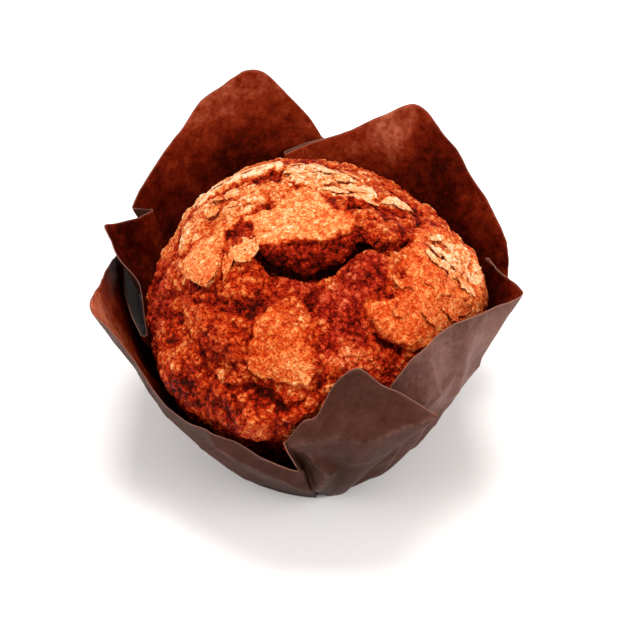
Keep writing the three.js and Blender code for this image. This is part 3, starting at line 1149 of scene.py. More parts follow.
    def bed(self, points: Array, spots: Array, ragged: Array) -> tuple[Array, Array]:
        """The crust's broad relief and its patches.

        Args:
            points: places on the smooth cake.
            spots: the same places on the crown map.
            ragged: how far the patches' borders wander there, on the map.

        Returns:
            The rise of hills, lumps and patches together, and each patch's cover from 0 to 1.
        """
        patches = crown_patches()
        covers = np.zeros((len(patches), len(spots)))
        rise = np.zeros(len(spots))
        for cover, patch in zip(covers, patches):
            cover[:] = ease(0.0, patch.edge, outline_depth(spots + patch.ragged * ragged, patch.outline))
            rise = mix(rise, patch.rise, cover)
        for lump in crown_lumps():
            away = ((spots - np.array(lump.spot)) / np.array(lump.size)) ** 2
            rise += lump.rise * np.exp(-away.sum(axis=1) ** 1.3)
        return rise + self.hill_height * noise(points, self.hill_size, 5, 2) - self.sinking, covers

    def skin(self, points: Array, spots: Array) -> dict[str, Array]:
        """Works out the crust's relief and its marks.

        Four sizes of pebbles, with sharp gaps between them, lie on the bed of hills and patches.
        A pebble is a dome: its height less the square of the distance to its middle. Patches
        flatten the pebbles, and cracks cut through everything. The tone has painted light on high
        places and painted shade in gaps and cracks, is darker towards the paper, and has a random
        share for each pebble.

        Args:
            points: places on the smooth cake.
            spots: the same places on the crown map.

        Returns:
            rise in millimetres, and the marks tone, moist and rough.
        """
        ragged = np.stack([noise(points, 4.2, 11 + axis, 3) + 0.5 * noise(points, 1.3, 21 + axis)
                           for axis in range(2)], axis=1)
        shaken = points + 0.7 * np.stack([noise(points, 2.2, 31 + axis, 2) for axis in range(3)], axis=1)
        packs = [pebbles(shaken, kind.size, kind.seed) for kind in CRUMB]
        bumps = sum(kind.height * (kind.level - pack.nearest**2) for kind, pack in zip(CRUMB, packs))
        cobble, large, medium, _ = packs
        gaps = np.maximum(1.0 - ease(0.0, 0.2, large.border),
                          0.8 * (1.0 - ease(0.0, 0.22, medium.border)))
        # Painted light on high pebbles and painted shade in the gaps between them, plus random shares.
        tone = (0.57 + 0.1 * noise(points, 8.0, 61, 2) + 0.1 * noise(points, 2.4, 71, 2)
                + 0.1 * (medium.chance - 0.5) + 0.16 * (large.chance - 0.5) + 0.16 * (cobble.chance - 0.5)
                + 0.1 * bumps - 0.14 * gaps - 0.12 * (1.0 - ease(0.0, 0.16, cobble.border)))
        moist = 0.08 + 0.24 * noise(points, 7.0, 81, 2)
        tone -= 0.13 * ease(35.0, 44.0, np.hypot(spots[:, 0], spots[:, 1]))
        flat = np.zeros(len(spots))
        rise, covers = self.bed(points, spots, ragged)
        for cover, patch in zip(covers, crown_patches()):
            # Inside a patch, the painted light on pebbles and painted shade in gaps shrink with its
            # smoothness.
            inner = (patch.tone + 0.08 * noise(points, 1.7, 41, 2) + 0.06 * noise(points, 5.0, 43)
                     + (1.0 - patch.smooth) * (0.24 * bumps - 0.12 * gaps))
            tone = mix(tone, inner, cover)
            moist = mix(moist, patch.moist, cover)
            flat = mix(flat, patch.smooth, cover)
        rise = rise + (1.0 - 0.85 * flat) * (bumps - 0.35 * gaps)
        wall = self.burst.wall_mask(spots)
        crevice = self.burst.crevice_mask(spots)
        down = self.burst.across(spots)[3]
        tone = mix(tone, mix(*self.wall_tones, down) + 0.5 * (tone - 0.55), wall)
        # Painted shade in the bottom of the crevice.
        tone = mix(tone, self.crevice_painted_shade, 0.9 * crevice)
        moist = mix(moist, 0.6, wall)
        moist = mix(moist, 1.0, crevice)
        rise -= self.crevice_drop * crevice
        for crack in crown_cracks():
            distance, along = path_distance(spots + crack.ragged * ragged, crack.path)
            width = crack.width * (0.35 + 0.65 * np.sin(math.pi * np.clip(along, 0.06, 0.94)))
            groove = np.exp(-((distance / width) ** 2))
            rise -= crack.depth * groove
            # Painted shade in the crack, darker the deeper it is.
            tone -= 0.13 * (0.6 + crack.depth) * groove
            moist = np.maximum(moist, 0.5 * groove)
        return {"rise": rise, "tone": np.clip(tone, 0.0, 1.1), "moist": np.clip(moist, 0.0, 1.0),
                "rough": 1.0 - 0.8 * flat}

    def build(self, wrapper: "Wrapper") -> bpy.types.Object:
        """Makes the cake's mesh: the grid bent over the cake, closed by a fan underneath.

        The relief is pushed out no further than the paper allows.

        Args:
            wrapper: the paper round the cake.

        Returns:
            The cake's piece.
        """
        across = self.points_across
        spots = self.grid_spots()
        smooth = self.smooth_point(spots)
        normal = surface_normals(smooth.reshape(across, across, 3)).reshape(-1, 3)
        skin = self.skin(smooth, spots)
        room = wrapper.room_inside(smooth)
        rise = np.minimum(skin.pop("rise"), room)
        rise = rise * mix(0.15, 1.0, ease(0.0, 6.0, smooth[:, 2] - self.foot))
        normal[smooth[:, 2] < self.foot + 0.01] = (0.0, 0.0, -1.0)
        points = smooth + rise[:, None] * normal
        points[:, 2] = np.maximum(points[:, 2], self.foot)
        rim = grid_rim(across, across)
        middle = np.array([[0.0, 0.0, self.foot]])
        fan = np.stack([np.roll(rim, -1), rim, np.full(len(rim), len(points))], axis=1)
        marks = {name: np.append(values, self.fan_mark) for name, values in skin.items()}
        return make_piece("muffin_cake", np.concatenate([points, middle]),
                          [grid_quads(across, across), fan], marks)

    def dress(self, piece: bpy.types.Object, material: bpy.types.Material) -> None:
        """Gives the cake its material and its place in the frame.

        Args:
            piece: the cake.
            material: the baked finish.
        """
        piece.data.materials.append(material)
        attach(piece, "root")
        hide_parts("muffin")


@dataclass(frozen=True)
class Flake:
    """A thin flake of crust that has come loose.

    Attributes:
        spine: X, Y and half the width, along the flake's middle, on the crown map.
        lift: how far its free edge stands up.
        tone: colour from 0, burnt, to 1, cream.
        free_side: 1 if the left side of the spine stands up, -1 if the right one does.
    """

    spine: list[tuple[float, float, float]]
    lift: float
    tone: float
    free_side: int = -1


def named_flakes() -> list[Flake]:
    """The flakes that show best: beside the burst, along the top ridge and at the right."""
    return [
        Flake([(-25.2, -6, 0.6), (-23, -6.6, 2.6), (-20, -7.6, 3.9), (-17.4, -8.4, 4.2),
               (-15.6, -9, 2.6)], 0.7, 0.74),
        Flake([(-15.1, -12.7, 0.3), (-14.3, -10.6, 0.9), (-13.5, -8, 1.1), (-13.4, -5.8, 0.4)],
              0.7, 0.74),
        Flake([(-12.4, -6.2, 0.9), (-11, -7, 2.7), (-9.6, -7, 2.5), (-8, -7, 0.9)], 0.8, 0.82),
        Flake([(12, 4.6, 0.4), (14, 5.8, 1.4), (16.4, 6.3, 1.6), (18.4, 5.7, 0.5)], 0.6, 0.94),
        Flake([(21.6, -14.6, 0.6), (24.2, -14.8, 1.7), (27, -14.2, 1.6), (29.4, -13, 0.5)], 0.9, 0.68, 1),
        Flake([(-24.5, 9.8, 0.3), (-21.4, 11.6, 1.0), (-18.6, 12.8, 0.6)], 0.15, 1.0),
        Flake([(-19.6, 12.4, 0.3), (-16, 14, 1.2), (-12.4, 14.8, 0.6)], 0.15, 1.02),
        Flake([(-13, 14.4, 0.4), (-9.6, 15.2, 1.2), (-5.6, 14.8, 0.5)], 0.2, 1.0),
        Flake([(2.4, 5.6, 0.4), (4.4, 5.9, 1.2), (6.8, 5.6, 0.5)], 0.3, 0.93),
        Flake([(6.8, 4.6, 0.4), (9, 4.9, 1.4), (11.8, 3.4, 0.5)], 0.4, 0.88),
        Flake([(-0.6, 7.4, 0.5), (2.2, 8.4, 1.7), (4.4, 8.4, 0.6)], 0.3, 0.84),
        Flake([(5.4, 7.2, 0.5), (7.4, 7.2, 1.5), (10.4, 6.8, 0.5)], 0.35, 0.9),
        Flake([(-4.2, 10.6, 0.5), (-2, 11.6, 1.9), (0.6, 11.6, 0.9)], 0.6, 0.9),
        Flake([(-0.6, 12.2, 0.9), (1.4, 12.4, 2.0), (4, 11.2, 0.7)], 0.7, 0.99),
        Flake([(4.4, 9.4, 0.4), (6, 10.2, 1.4), (7.6, 10.2, 0.5)], 0.3, 0.9, 1),
        Flake([(-5, 14.4, 0.4), (-3, 15.4, 1.3), (-1, 14.6, 0.5)], 0.35, 0.86),
        Flake([(5.4, 13.4, 0.4), (6.8, 12.8, 1.0), (8.2, 11.4, 0.4)], 0.3, 0.76),
    ]


def scattered_flakes() -> list[Flake]:
    """Small flakes in loose rows: a pale cluster on the right plate, and more round the back.

    A row is given by its two ends on the crown map, how many flakes it has and their tone. Each
    place in a row is shaken by a random step, and its length, width and tone are random too.

    Returns:
        The flakes, row by row.
    """
    made = []
    rows = (((20.8, -5.6), (29.5, -9.4), 6, 0.88), ((20.6, -2.8), (31.4, -6.0), 7, 0.98),
            ((21.4, 0.0), (31.6, -2.4), 6, 0.92), ((-23, 2), (-9, 4), 4, 0.8),
            ((-9, 5), (-19, 9), 4, 0.84), ((15.5, -13), (26, -10), 4, 0.66),
            ((14, -19), (27, -16), 4, 0.66), ((-34, 6), (-18, 18), 5, 0.72),
            ((-20, 30), (16, 36), 7, 0.68))
    for number, (start, end, count, tone) in enumerate(rows):
        cells = np.array([(number, i, 7) for i in range(count)])
        chance = np.stack([cell_chance(cells, 400 + seed) for seed in range(5)], axis=1)
        share = (np.arange(count) + chance[:, 0]) / count
        middle = np.array(start) + np.outer(share, np.array(end) - np.array(start))
        middle += 1.2 * (chance[:, 1:3] - 0.5)
        length = 0.9 + 0.8 * chance[:, 3]
        width = 0.7 + 0.7 * chance[:, 4]
        slope = 2.0 * (chance[:, 2] - 0.5)
        for (x, y), reach, half, tilt, shade in zip(middle, length, width, slope, chance[:, 1]):
            spine = [(x - reach, y - tilt * reach, 0.4 * half), (x, y + 0.2, half),
                     (x + reach, y + tilt * reach, 0.35 * half)]
            free_side = 1 if tilt > 0.3 else -1
            made.append(Flake(spine, 0.15 + 0.2 * half, tone + 0.14 * (shade - 0.5), free_side))
    return made


@dataclass
class Flakes:
    """All loose flakes of crust, as one piece of many small closed sheets.

    Attributes:
        thickness: how thick a flake is.
        along: points along a flake.
        across: points across it.
        underside_painted_shade: painted shade on its underside: how much darker that skin is.
        moist: its mark moist.
        rough: its mark rough.
    """

    thickness: float = 0.28
    along: int = 34
    across: int = 12
    underside_painted_shade: float = 0.15
    moist: float = 0.12
    rough: float = 0.05

    def sheet(self, flake: Flake, cake: Cake, number: int) -> tuple[Array, dict[str, Array]]:
        """Works out one flake's two skins.

        A point is the spine at a share of its length, plus a share of the half width to the side.
        The half width follows the spine's and is made ragged by noise. The free edge stands up
        with the square of the distance from the held edge.

        Args:
            flake: the flake.
            cake: the cake that it lies on.
            number: its place in the list, which picks its noise.

        Returns:
            The points of the upper and then the lower skin, and the marks.
        """
        spine = np.array(flake.spine)
        knots = np.linspace(0.0, 1.0, len(spine))
        share = np.linspace(0.0, 1.0, self.along)
        x, y, half = (np.interp(share, knots, spine[:, i]) for i in range(3))
        run = np.gradient(np.stack([x, y], axis=1), axis=0)
        left = np.stack([-run[:, 1], run[:, 0]], axis=1) / np.linalg.norm(run, axis=1, keepdims=True)
        side = np.linspace(-1.0, 1.0, self.across)
        seed = np.array([[37.0 * number, 0.0, 0.0]])
        strips = []
        for edge in (-1.0, 1.0):
            line = np.stack([share * 9.0, np.full(self.along, 5.0 * edge), np.zeros(self.along)], axis=1)
            strips.append(half + np.minimum(0.6 * half, 0.55) * noise(line + seed, 1.5, 501, 2))
        width = np.where(side < 0, strips[0][:, None], strips[1][:, None])
        spots = np.stack([x, y], axis=1)[:, None] + left[:, None] * (width * side)[..., None]
        spots = spots.reshape(-1, 2)
        points = cake.smooth_point(spots)
        normal = cake.normal_at(spots)
        rise, _ = cake.bed(points, spots, np.zeros((len(spots), 2)))
        free = 0.5 * (1.0 + flake.free_side * np.tile(side, self.along))
        curl = flake.lift * free**2 + 0.12 * noise(points + seed, 1.4, 511, 2)
        upper = points + (rise + self.thickness + curl)[:, None] * normal
        lower = upper - self.thickness * normal
        tone = flake.tone + 0.1 * noise(points + seed, 1.3, 521, 2)
        # The lower skin gets painted shade.
        tone = np.concatenate([tone, tone - self.underside_painted_shade])
        marks = {"tone": tone, "moist": np.full(len(tone), self.moist),
                 "rough": np.full(len(tone), self.rough)}
        return np.concatenate([upper, lower]), marks

    def faces(self, first: int) -> Array:
        """Lists the quads of one flake: upper skin, lower skin and the strip round its edge.

        Args:
            first: the number of the flake's first point.

        Returns:
            Four corner numbers for each quad.
        """
        count = self.along * self.across
        upper = grid_quads(self.along, self.across)
        rim = grid_rim(self.along, self.across)
        beside = np.roll(rim, -1)
        strip = np.stack([rim, beside, count + beside, count + rim], axis=1)
        return first + np.concatenate([upper[:, ::-1], count + upper, strip])

    def build(self, cake: Cake) -> bpy.types.Object:
        """Makes all flakes as one piece.

        Args:
            cake: the cake that they lie on.

        Returns:
            The flakes' piece.
        """
        points, faces, marks = [], [], []
        for number, flake in enumerate([*named_flakes(), *scattered_flakes()]):
            sheet, sheet_marks = self.sheet(flake, cake, number)
            faces.append(self.faces(sum(len(block) for block in points)))
            points.append(sheet)
            marks.append(sheet_marks)
        joined = {name: np.concatenate([mark[name] for mark in marks]) for name in marks[0]}
        return make_piece("crust_flakes", np.concatenate(points), faces, joined)

    def dress(self, piece: bpy.types.Object, material: bpy.types.Material) -> None:
        """Gives the flakes the crust's material, and they stay with the cake.

        Args:
            piece: the flakes.
            material: the baked finish.
        """
        piece.data.materials.append(material)
        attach(piece, "root")


# ---- the paper wrapper -----------------------------------------------------


class Skin(Enum):
    """The two faces of the paper, by their share of its thickness from the middle."""

    OUTSIDE = 0.5
    INSIDE = -0.5


@dataclass(frozen=True)
class Petal:
    """A petal of the wrapper.

    Attributes:
        footing: where it stands on the foot, in degrees.
        bulge: how far it is bowed out half-way up.
        rim: azimuth, radius, height and layer of the rim's points. Layer 0 lies on the cake.
    """

    footing: tuple[float, float]
    bulge: float
    rim: list[tuple[float, float, float, float]]


def petals() -> list[Petal]:
    """The wrapper's six petals, the same as in the frame."""
    return [
        Petal((-85, -79), 2.0, [
            (-96.5, 38.2, 38.2, 0), (-91.5, 37.9, 43.4, 0), (-87.5, 37.2, 44.6, 0), (-81.5, 36.4, 51, 0),
            (-77, 36.1, 54, 0), (-73.5, 36.3, 54.6, 1), (-67, 38.7, 50.6, 2), (-60, 41.2, 47, 2),
            (-55, 43.6, 43.6, 2)]),
        Petal((-78, 12), -0.6, [
            (-66, 38.6, 46, 0), (-63, 38.6, 49.6, 0), (-56, 37.8, 53.6, 0), (-43, 37.7, 56.2, 0),
            (-35, 40, 56.6, 0), (-24, 43.2, 54.6, 0), (-15, 47, 52.8, 0), (-11, 46.4, 51.4, 0),
            (-3, 43.9, 48.2, 0), (6, 42.2, 45, 0), (18, 43.2, 38.5, 0)]),
        Petal((13, 92), 0.5, [
            (14, 47.8, 34, 2), (19, 49, 40.5, 2), (26, 49, 43.8, 1), (34.5, 49, 47.2, 0),
            (49, 49, 55.8, 0), (57, 50, 60, 0), (61, 49.8, 60, 0), (69, 48.4, 55, 0),
            (78, 46.8, 50.2, 0), (86, 44.7, 48.2, 0), (97, 43.7, 45, 0)]),
        Petal((93, 147), 0.5, [
            (86, 47.4, 47, 2), (90, 48.4, 52.5, 2), (95.5, 49.4, 58.4, 2), (102.5, 50, 65.6, 1),
            (107, 50, 66.6, 0), (113, 49.6, 64.6, 0), (121, 49, 62.2, 0), (128, 48.4, 56.8, 0),
            (135, 48, 53.2, 0), (142, 47.6, 49.6, 2), (151, 46.8, 46.4, 2)]),
        Petal((148, 170), 0.0, [
            (146, 44, 43.4, 0), (153, 45.4, 44.6, 0), (159, 47.6, 46.4, 0), (162.5, 48.6, 48, 0),
            (167, 45.8, 47.8, 0), (172, 43.2, 46.8, 0), (177, 38, 41.6, 0), (188, 36.8, 32.6, 0)]),
        Petal((171, 274), 1.2, [
            (157, 47.5, 37, 3), (166, 46.4, 40, 3), (174, 45.6, 43.2, 3), (183, 46.2, 45.4, 2),
            (191, 48, 47, 0), (196, 47.8, 47.6, 0), (203, 45.9, 48.2, 0), (209, 42.9, 42, 0),
            (215, 41.2, 35.6, 0), (227, 40.6, 33.4, 0), (243, 40.2, 34.4, 0),
            (257, 40.6, 33.4, 1), (267, 41.2, 30.6, 2)]),
    ]


@dataclass(frozen=True)
class Fold:
    """A sharp crease pressed into the paper.

    Attributes:
        path: azimuth and height of its points.
        rise: how far its crest stands out.
        above: width of the slope above it.
        below: width of the slope below it.
    """

    path: Spots
    rise: float
    above: float
    below: float


def paper_folds() -> list[Fold]:
    """The creases that show best: across the front petal, down its left side and round the wall."""
    return [
        Fold([(-95, 37.6), (-91, 38.9), (-85.8, 40.1), (-80.8, 40.8), (-70.6, 39.9), (-62.7, 41.6),
              (-55.5, 42.8)], 3.0, 6.5, 12.0),
        Fold([(-92, 35.9), (-88, 31), (-84, 26.1)], 2.2, 3.0, 2.5),
        Fold([(-84, 26.1), (-85.5, 20), (-86.9, 13.8)], 2.0, 3.0, 2.5),
        Fold([(-117.7, 30.3), (-109.3, 27.4), (-102.7, 24.5), (-96.2, 21), (-89, 14.5)], 2.4, 5.0, 4.0),
        Fold([(-150, 30), (-138, 25), (-126, 16), (-118, 6)], 1.2, 6.0, 5.0),
        Fold([(-57.9, 34), (-58.2, 24), (-59.6, 14.4), (-72, 8)], 1.5, 5.0, 2.0),
        Fold([(-50, 52), (-47, 36), (-50, 18), (-58, 4)], 1.0, 4.0, 4.0),
        Fold([(-36, 50), (-37, 32), (-42, 14)], 1.1, 3.5, 3.5),
        Fold([(-22, 50), (-26, 30), (-32, 12)], 1.0, 4.0, 3.0),
        Fold([(48, 52), (44, 36), (38, 18)], 0.7, 5.0, 5.0),
        Fold([(70, 50), (62, 34), (54, 14)], 0.6, 5.0, 4.0),
        Fold([(108, 60), (112, 42), (116, 20)], 0.8, 6.0, 5.0),
        Fold([(128, 52), (124, 34), (120, 14)], 0.6, 4.0, 5.0),
    ]


@dataclass(frozen=True)
class StainAndLightSpot:
    """A spot on the wall where a mark of the paper is stronger or weaker; most are painted light and
    painted shade, some are soaking.

    Attributes:
        azimuth: where it is round the wall, in degrees.
        height: how high it is.
        wide: half its width, in degrees.
        tall: half its height.
        more: what it adds to the mark.
    """

    azimuth: float
    height: float
    wide: float
    tall: float
    more: float


AZIMUTH, RADIUS, HEIGHT, LAYER, FOOTING, BULGE = range(6)


@dataclass
class Wrapper:
    """The wrapper: one sheet of paper, pressed round the cake and folded into six petals.

    Attributes:
        base_radius: radius of the round foot.
        wall_flare: how fast the wall's radius grows with height.
        thickness: the paper's thickness.
        frame_thickness: its thickness in the frame.
        layer_step: how far apart two layers lie.
        foot_layer_step: how far apart they lie at the foot.
        air: gap between the cake and the paper.
        clearance: gap that the crust's relief leaves.
        crown_reach: how far above and below its widest place the cake counts as that wide.
        corner: how soft the corner is where the wall meets the cake.
        above_rim: room that the cake has above the rim.
        column_step: most degrees between two columns.
        degree_width: width of a degree on the wall, for places of folds.
        map_seam: azimuth where the map of folds begins and ends.
        ridge_highlight_width: half the width of the painted highlight along a crease's ridge.
        dry_and_lit_rise: how much drier and lighter the inside is at the rim, with painted light as well
            as dryness.
        soaked_and_lit_spots: spots that are lighter, with painted highlight as well as dryness, and spots
            that are darker, with painted shade as well as soaking.
        outside_painted_light_rise: how much painted light the outside gains from the foot upwards, so
            that it is painted darker near the foot.
        outside_painted_light_spots: spots where the outside gets more painted light, and some where it
            gets painted shade.
        dent_size: distance between broad dents.
        dent_depth: their depth.
        upright_size: distance between soft upright folds.
        upright_depth: their depth.
        upright_stretch: how much height counts in them.
        crease_size: distance between fine creases.
        crease_depth: their depth.
        foot_rings: the foot's rings, as shares of its radius.
        pleat_columns: columns in a pleat.
        fold_turn: how far a fold's edge bulges, in degrees.
        foot_gap: half the width of a pleat at the foot, in degrees.
        rows: steps from the foot to the rim.
        flat_side: side of the flat sheet, in metres.
    """

    base_radius: float = 25.0
    wall_flare: float = 0.45
    thickness: float = 0.22
    frame_thickness: float = 0.3
    layer_step: float = 0.9
    foot_layer_step: float = 0.5
    air: float = 0.6
    clearance: float = 0.35
    crown_reach: float = 2.5
    corner: float = 0.3
    above_rim: float = 9.0
    column_step: float = 0.78
    degree_width: float = 0.68
    map_seam: float = 175.0
    ridge_highlight_width: float = 0.5
    dry_and_lit_rise: float = 0.52
    soaked_and_lit_spots: tuple[StainAndLightSpot, ...] = (
        StainAndLightSpot(64.0, 54.0, 6.0, 9.0, 0.9), StainAndLightSpot(42.0, 50.0, 12.0, 9.0, -0.15),
        StainAndLightSpot(0.0, 45.0, 24.0, 14.0, -0.6), StainAndLightSpot(165.0, 42.0, 13.0, 9.0, -0.6),
        StainAndLightSpot(197.0, 38.0, 15.0, 12.0, 0.8), StainAndLightSpot(112.0, 58.0, 16.0, 12.0, 0.2))
    outside_painted_light_rise: float = 0.45
    outside_painted_light_spots: tuple[StainAndLightSpot, ...] = (
        StainAndLightSpot(-36.0, 44.0, 24.0, 20.0, 0.6), StainAndLightSpot(-76.0, 24.0, 14.0, 14.0, -0.3),
        StainAndLightSpot(-12.0, 50.0, 10.0, 8.0, 0.2))
    dent_size: float = 16.0
    dent_depth: float = 0.5
    upright_size: float = 5.0
    upright_depth: float = 0.28
    upright_stretch: float = 0.16
    crease_size: float = 11.0
    crease_depth: float = 0.16
    foot_rings: tuple[float, ...] = (0.35, 0.7, 0.94)
    pleat_columns: int = 5
    fold_turn: float = 0.55
    foot_gap: float = 0.15
    rows: int = 64
    flat_side: float = 0.14

    def petal_columns(self, petal: Petal) -> Array:
        """Lays out the columns of one petal, each a line up the wall.

        The rim is a centripetal Catmull-Rom curve through the petal's points: between two points
        it is the cubic that leaves each along the line that its neighbours set, in knots that are
        the square root of the distances. The layer changes in a straight line between points.

        Args:
            petal: the petal.

        Returns:
            A row for each column: azimuth, radius, height, layer, footing and bulge.
        """
        rim = np.array(petal.rim, float)
        place = rim[:, :3]
        ends = np.concatenate([[2 * place[0] - place[1]], place, [2 * place[-1] - place[-2]]])
        knots = np.sqrt(np.linalg.norm(np.diff(ends, axis=0), axis=1))
        blocks = []
        for i in range(len(rim) - 1):
            p0, p1, p2, p3 = ends[i:i + 4]
            d0, d1, d2 = knots[i:i + 3]
            leave = d1 * ((p1 - p0) / d0 - (p2 - p0) / (d0 + d1) + (p2 - p1) / d1)
            arrive = d1 * ((p2 - p1) / d1 - (p3 - p1) / (d1 + d2) + (p3 - p2) / d2)
            steps = math.ceil((rim[i + 1, 0] - rim[i, 0]) / self.column_step)
            last = i == len(rim) - 2
            t = np.linspace(0.0, 1.0, steps + 1)[: None if last else -1, None]
            curve = (p1 + leave * t + (3 * (p2 - p1) - 2 * leave - arrive) * t**2
                     + (2 * (p1 - p2) + leave + arrive) * t**3)
            share = (i + t[:, 0]) / (len(rim) - 1)
            turned = (curve[:, 0] - rim[0, 0]) / (rim[-1, 0] - rim[0, 0])
            blocks.append(np.column_stack([
                curve, mix(rim[i, 3], rim[i + 1, 3], t[:, 0]), mix(*petal.footing, turned),
                petal.bulge * np.sqrt(np.maximum(np.sin(math.pi * share), 0.0))]))
        return np.concatenate(blocks)

    def pleat_columns_between(self, last: Array, first: Array) -> Array:
        """Lays out the layer that a pleat folds away, from one petal's edge back to the next.

        Args:
            last: the one petal's last column.
            first: the next petal's first column.

        Returns:
            A row for each column, as for a petal.
        """
        between = 0.5 * (last[LAYER] + first[LAYER])
        step = (between - last[LAYER]) * self.layer_step
        middle = 0.5 * (last[FOOTING] + first[FOOTING])
        leave, arrive = last.copy(), first.copy()
        leave[[RADIUS, LAYER, FOOTING, BULGE]] = (
            last[RADIUS] + step, between, middle - self.foot_gap, 0.0)
        arrive[[RADIUS, LAYER, FOOTING, BULGE]] = (
            first[RADIUS] - step, between, middle + self.foot_gap, 0.0)
        turn = self.fold_turn * np.sign(last[AZIMUTH] - first[AZIMUTH])
        leave_edge = 0.5 * (last + leave)
        arrive_edge = 0.5 * (arrive + first)
        leave_edge[AZIMUTH] += turn
        arrive_edge[AZIMUTH] -= turn
        share = np.linspace(0.0, 1.0, self.pleat_columns)[:, None]
        return np.concatenate([[leave_edge], mix(leave, arrive, share), [arrive_edge]])

    def columns(self) -> Array:
        """Lays out all columns round the wrapper, petal by petal, with the pleats between them.

        Returns:
            A row for each column, as for a petal.
        """
        made = [self.petal_columns(petal) for petal in petals()]
        blocks = []
        for i, block in enumerate(made):
            first = made[(i + 1) % len(made)][0].copy()
            if i + 1 == len(made):
                first[[AZIMUTH, FOOTING]] += 360.0
            blocks += [block, self.pleat_columns_between(block[-1], first)]
        return np.concatenate(blocks)

    def wall_points(self, columns: Array, cake: Cake) -> Array:
        """Finds the points of the wall's middle surface.

        Each column is a parabola through the foot, a bowed-out middle and the rim, and it is
        kept outside the cake's widest part, plus air, half the paper and the layers inside it.
        The larger of the two radii is taken with a soft corner.

        Args:
            columns: all columns.
            cake: the cake inside.

        Returns:
            Points by row, from foot to rim, and by column.
        """
        share = np.linspace(0.0, 1.0, self.rows + 1)[:, None]
        azimuth = np.radians(mix(columns[:, FOOTING], columns[:, AZIMUTH], share))
        height = mix(0.5 * self.frame_thickness, columns[:, HEIGHT], share)
        step = self.layer_step * columns[:, LAYER]
        foot = self.base_radius + self.foot_layer_step * columns[:, LAYER]
        half = self.base_radius + 0.5 * self.wall_flare * columns[:, HEIGHT] + step + columns[:, BULGE]
        half = np.maximum(half, 0.5 * (foot + columns[:, RADIUS]))
        free = bowed(foot, half, columns[:, RADIUS], share)
        widest = np.clip(cake.crown_height, height - self.crown_reach, height + self.crown_reach)
        stack = mix(self.foot_layer_step * columns[:, LAYER], step, ease(0.0, 0.3, share))
        touching = self.cake_edge(cake, azimuth, widest) + self.air + 0.5 * self.frame_thickness + stack
        radius = 0.5 * (free + touching + np.hypot(free - touching, self.corner))
        radius[0] = foot
        return np.stack([radius * np.cos(azimuth), radius * np.sin(azimuth), height], axis=-1)

    @staticmethod
    def cake_edge(cake: Cake, azimuth: Array, height: Array) -> Array:
        """Measures from the Z axis to the side of the leaning cake.

        Args:
            cake: the cake.
            azimuth: directions, in radians.
            height: heights.

        Returns:
            The distances, 0 where the cake isn't reached.
        """
        rise = (height - cake.crown_height) / (cake.top - cake.crown_height)
        crown = cake.crown_radius * np.sqrt(np.clip(1.0 - rise**2, 0.0, None))
        cone = mix(cake.foot_radius, cake.crown_radius, height / cake.crown_height)
        radius = np.where(height >= cake.crown_height, crown, cone)
        lean = cake.lean_at(height)
        across = lean * np.sin(azimuth)
        edge = lean * np.cos(azimuth) + np.sqrt(np.clip(radius**2 - across**2, 0.0, None))
        return np.where(radius > np.abs(across), edge, 0.0)

    def room_inside(self, points: Array) -> Array:
        """Measures how far the cake may stand out before it meets the paper.

        It is the innermost layer's radius at the point's azimuth and height, less the cake's own
        and a small clearance. Above the rim there is more than enough.

        Args:
            points: places on the smooth cake.

        Returns:
            One distance for each point.
        """
        blocks = [self.petal_columns(petal) for petal in petals()]
        inner = np.concatenate([block[block[:, LAYER] < 0.5] for block in blocks])
        inner = inner[np.argsort(inner[:, AZIMUTH] % 360.0)]
        azimuth = np.degrees(np.arctan2(points[:, 1], points[:, 0]))
        rim, radius, bulge = (np.interp(azimuth, inner[:, AZIMUTH], inner[:, i], period=360.0)
                              for i in (HEIGHT, RADIUS, BULGE))
        share = np.clip(points[:, 2] / rim, 0.0, 1.0)
        half = np.maximum(self.base_radius + 0.5 * self.wall_flare * rim + bulge,
                          0.5 * (self.base_radius + radius))
        free = bowed(self.base_radius, half, radius, share)
        gap = np.maximum(free - np.hypot(points[:, 0], points[:, 1]), self.air)
        return np.where(points[:, 2] > rim, self.above_rim, gap - self.clearance)

    def soak_and_painted_light(self, columns: Array) -> tuple[Array, Array]:
        """Works out how dry the inside is, from 0 where fat has soaked in, and how much painted light the
        outside gets.

        Both grow with the share of the way up, and with bells round spots of their own. The dryness also
        carries painted highlights and painted shade on the inside.

        Args:
            columns: all columns.

        Returns:
            Dryness with its painted light and shade, and the outside's painted light, from 0 to 1, by row
            and column.
        """
        share = np.linspace(0.0, 1.0, self.rows + 1)[:, None]
        height = mix(0.5 * self.frame_thickness, columns[:, HEIGHT], share)
        azimuth = mix(columns[:, FOOTING], columns[:, AZIMUTH], share)
        level = np.ones(len(columns))
        marks = []
        for mark, spots in ((self.dry_and_lit_rise * ease(0.6, 1.0, share) * level, self.soaked_and_lit_spots),
                            (self.outside_painted_light_rise * ease(0.0, 0.35, share) * level, self.outside_painted_light_spots)):
            for spot in spots:
                turned = ((azimuth - spot.azimuth + 180.0) % 360.0 - 180.0) / spot.wide
                raised = (height - spot.height) / spot.tall
                mark = mark + spot.more * np.exp(-(turned**2) - raised**2)
            marks.append(np.clip(mark, 0.0, 1.0))
        return marks[0], marks[1]

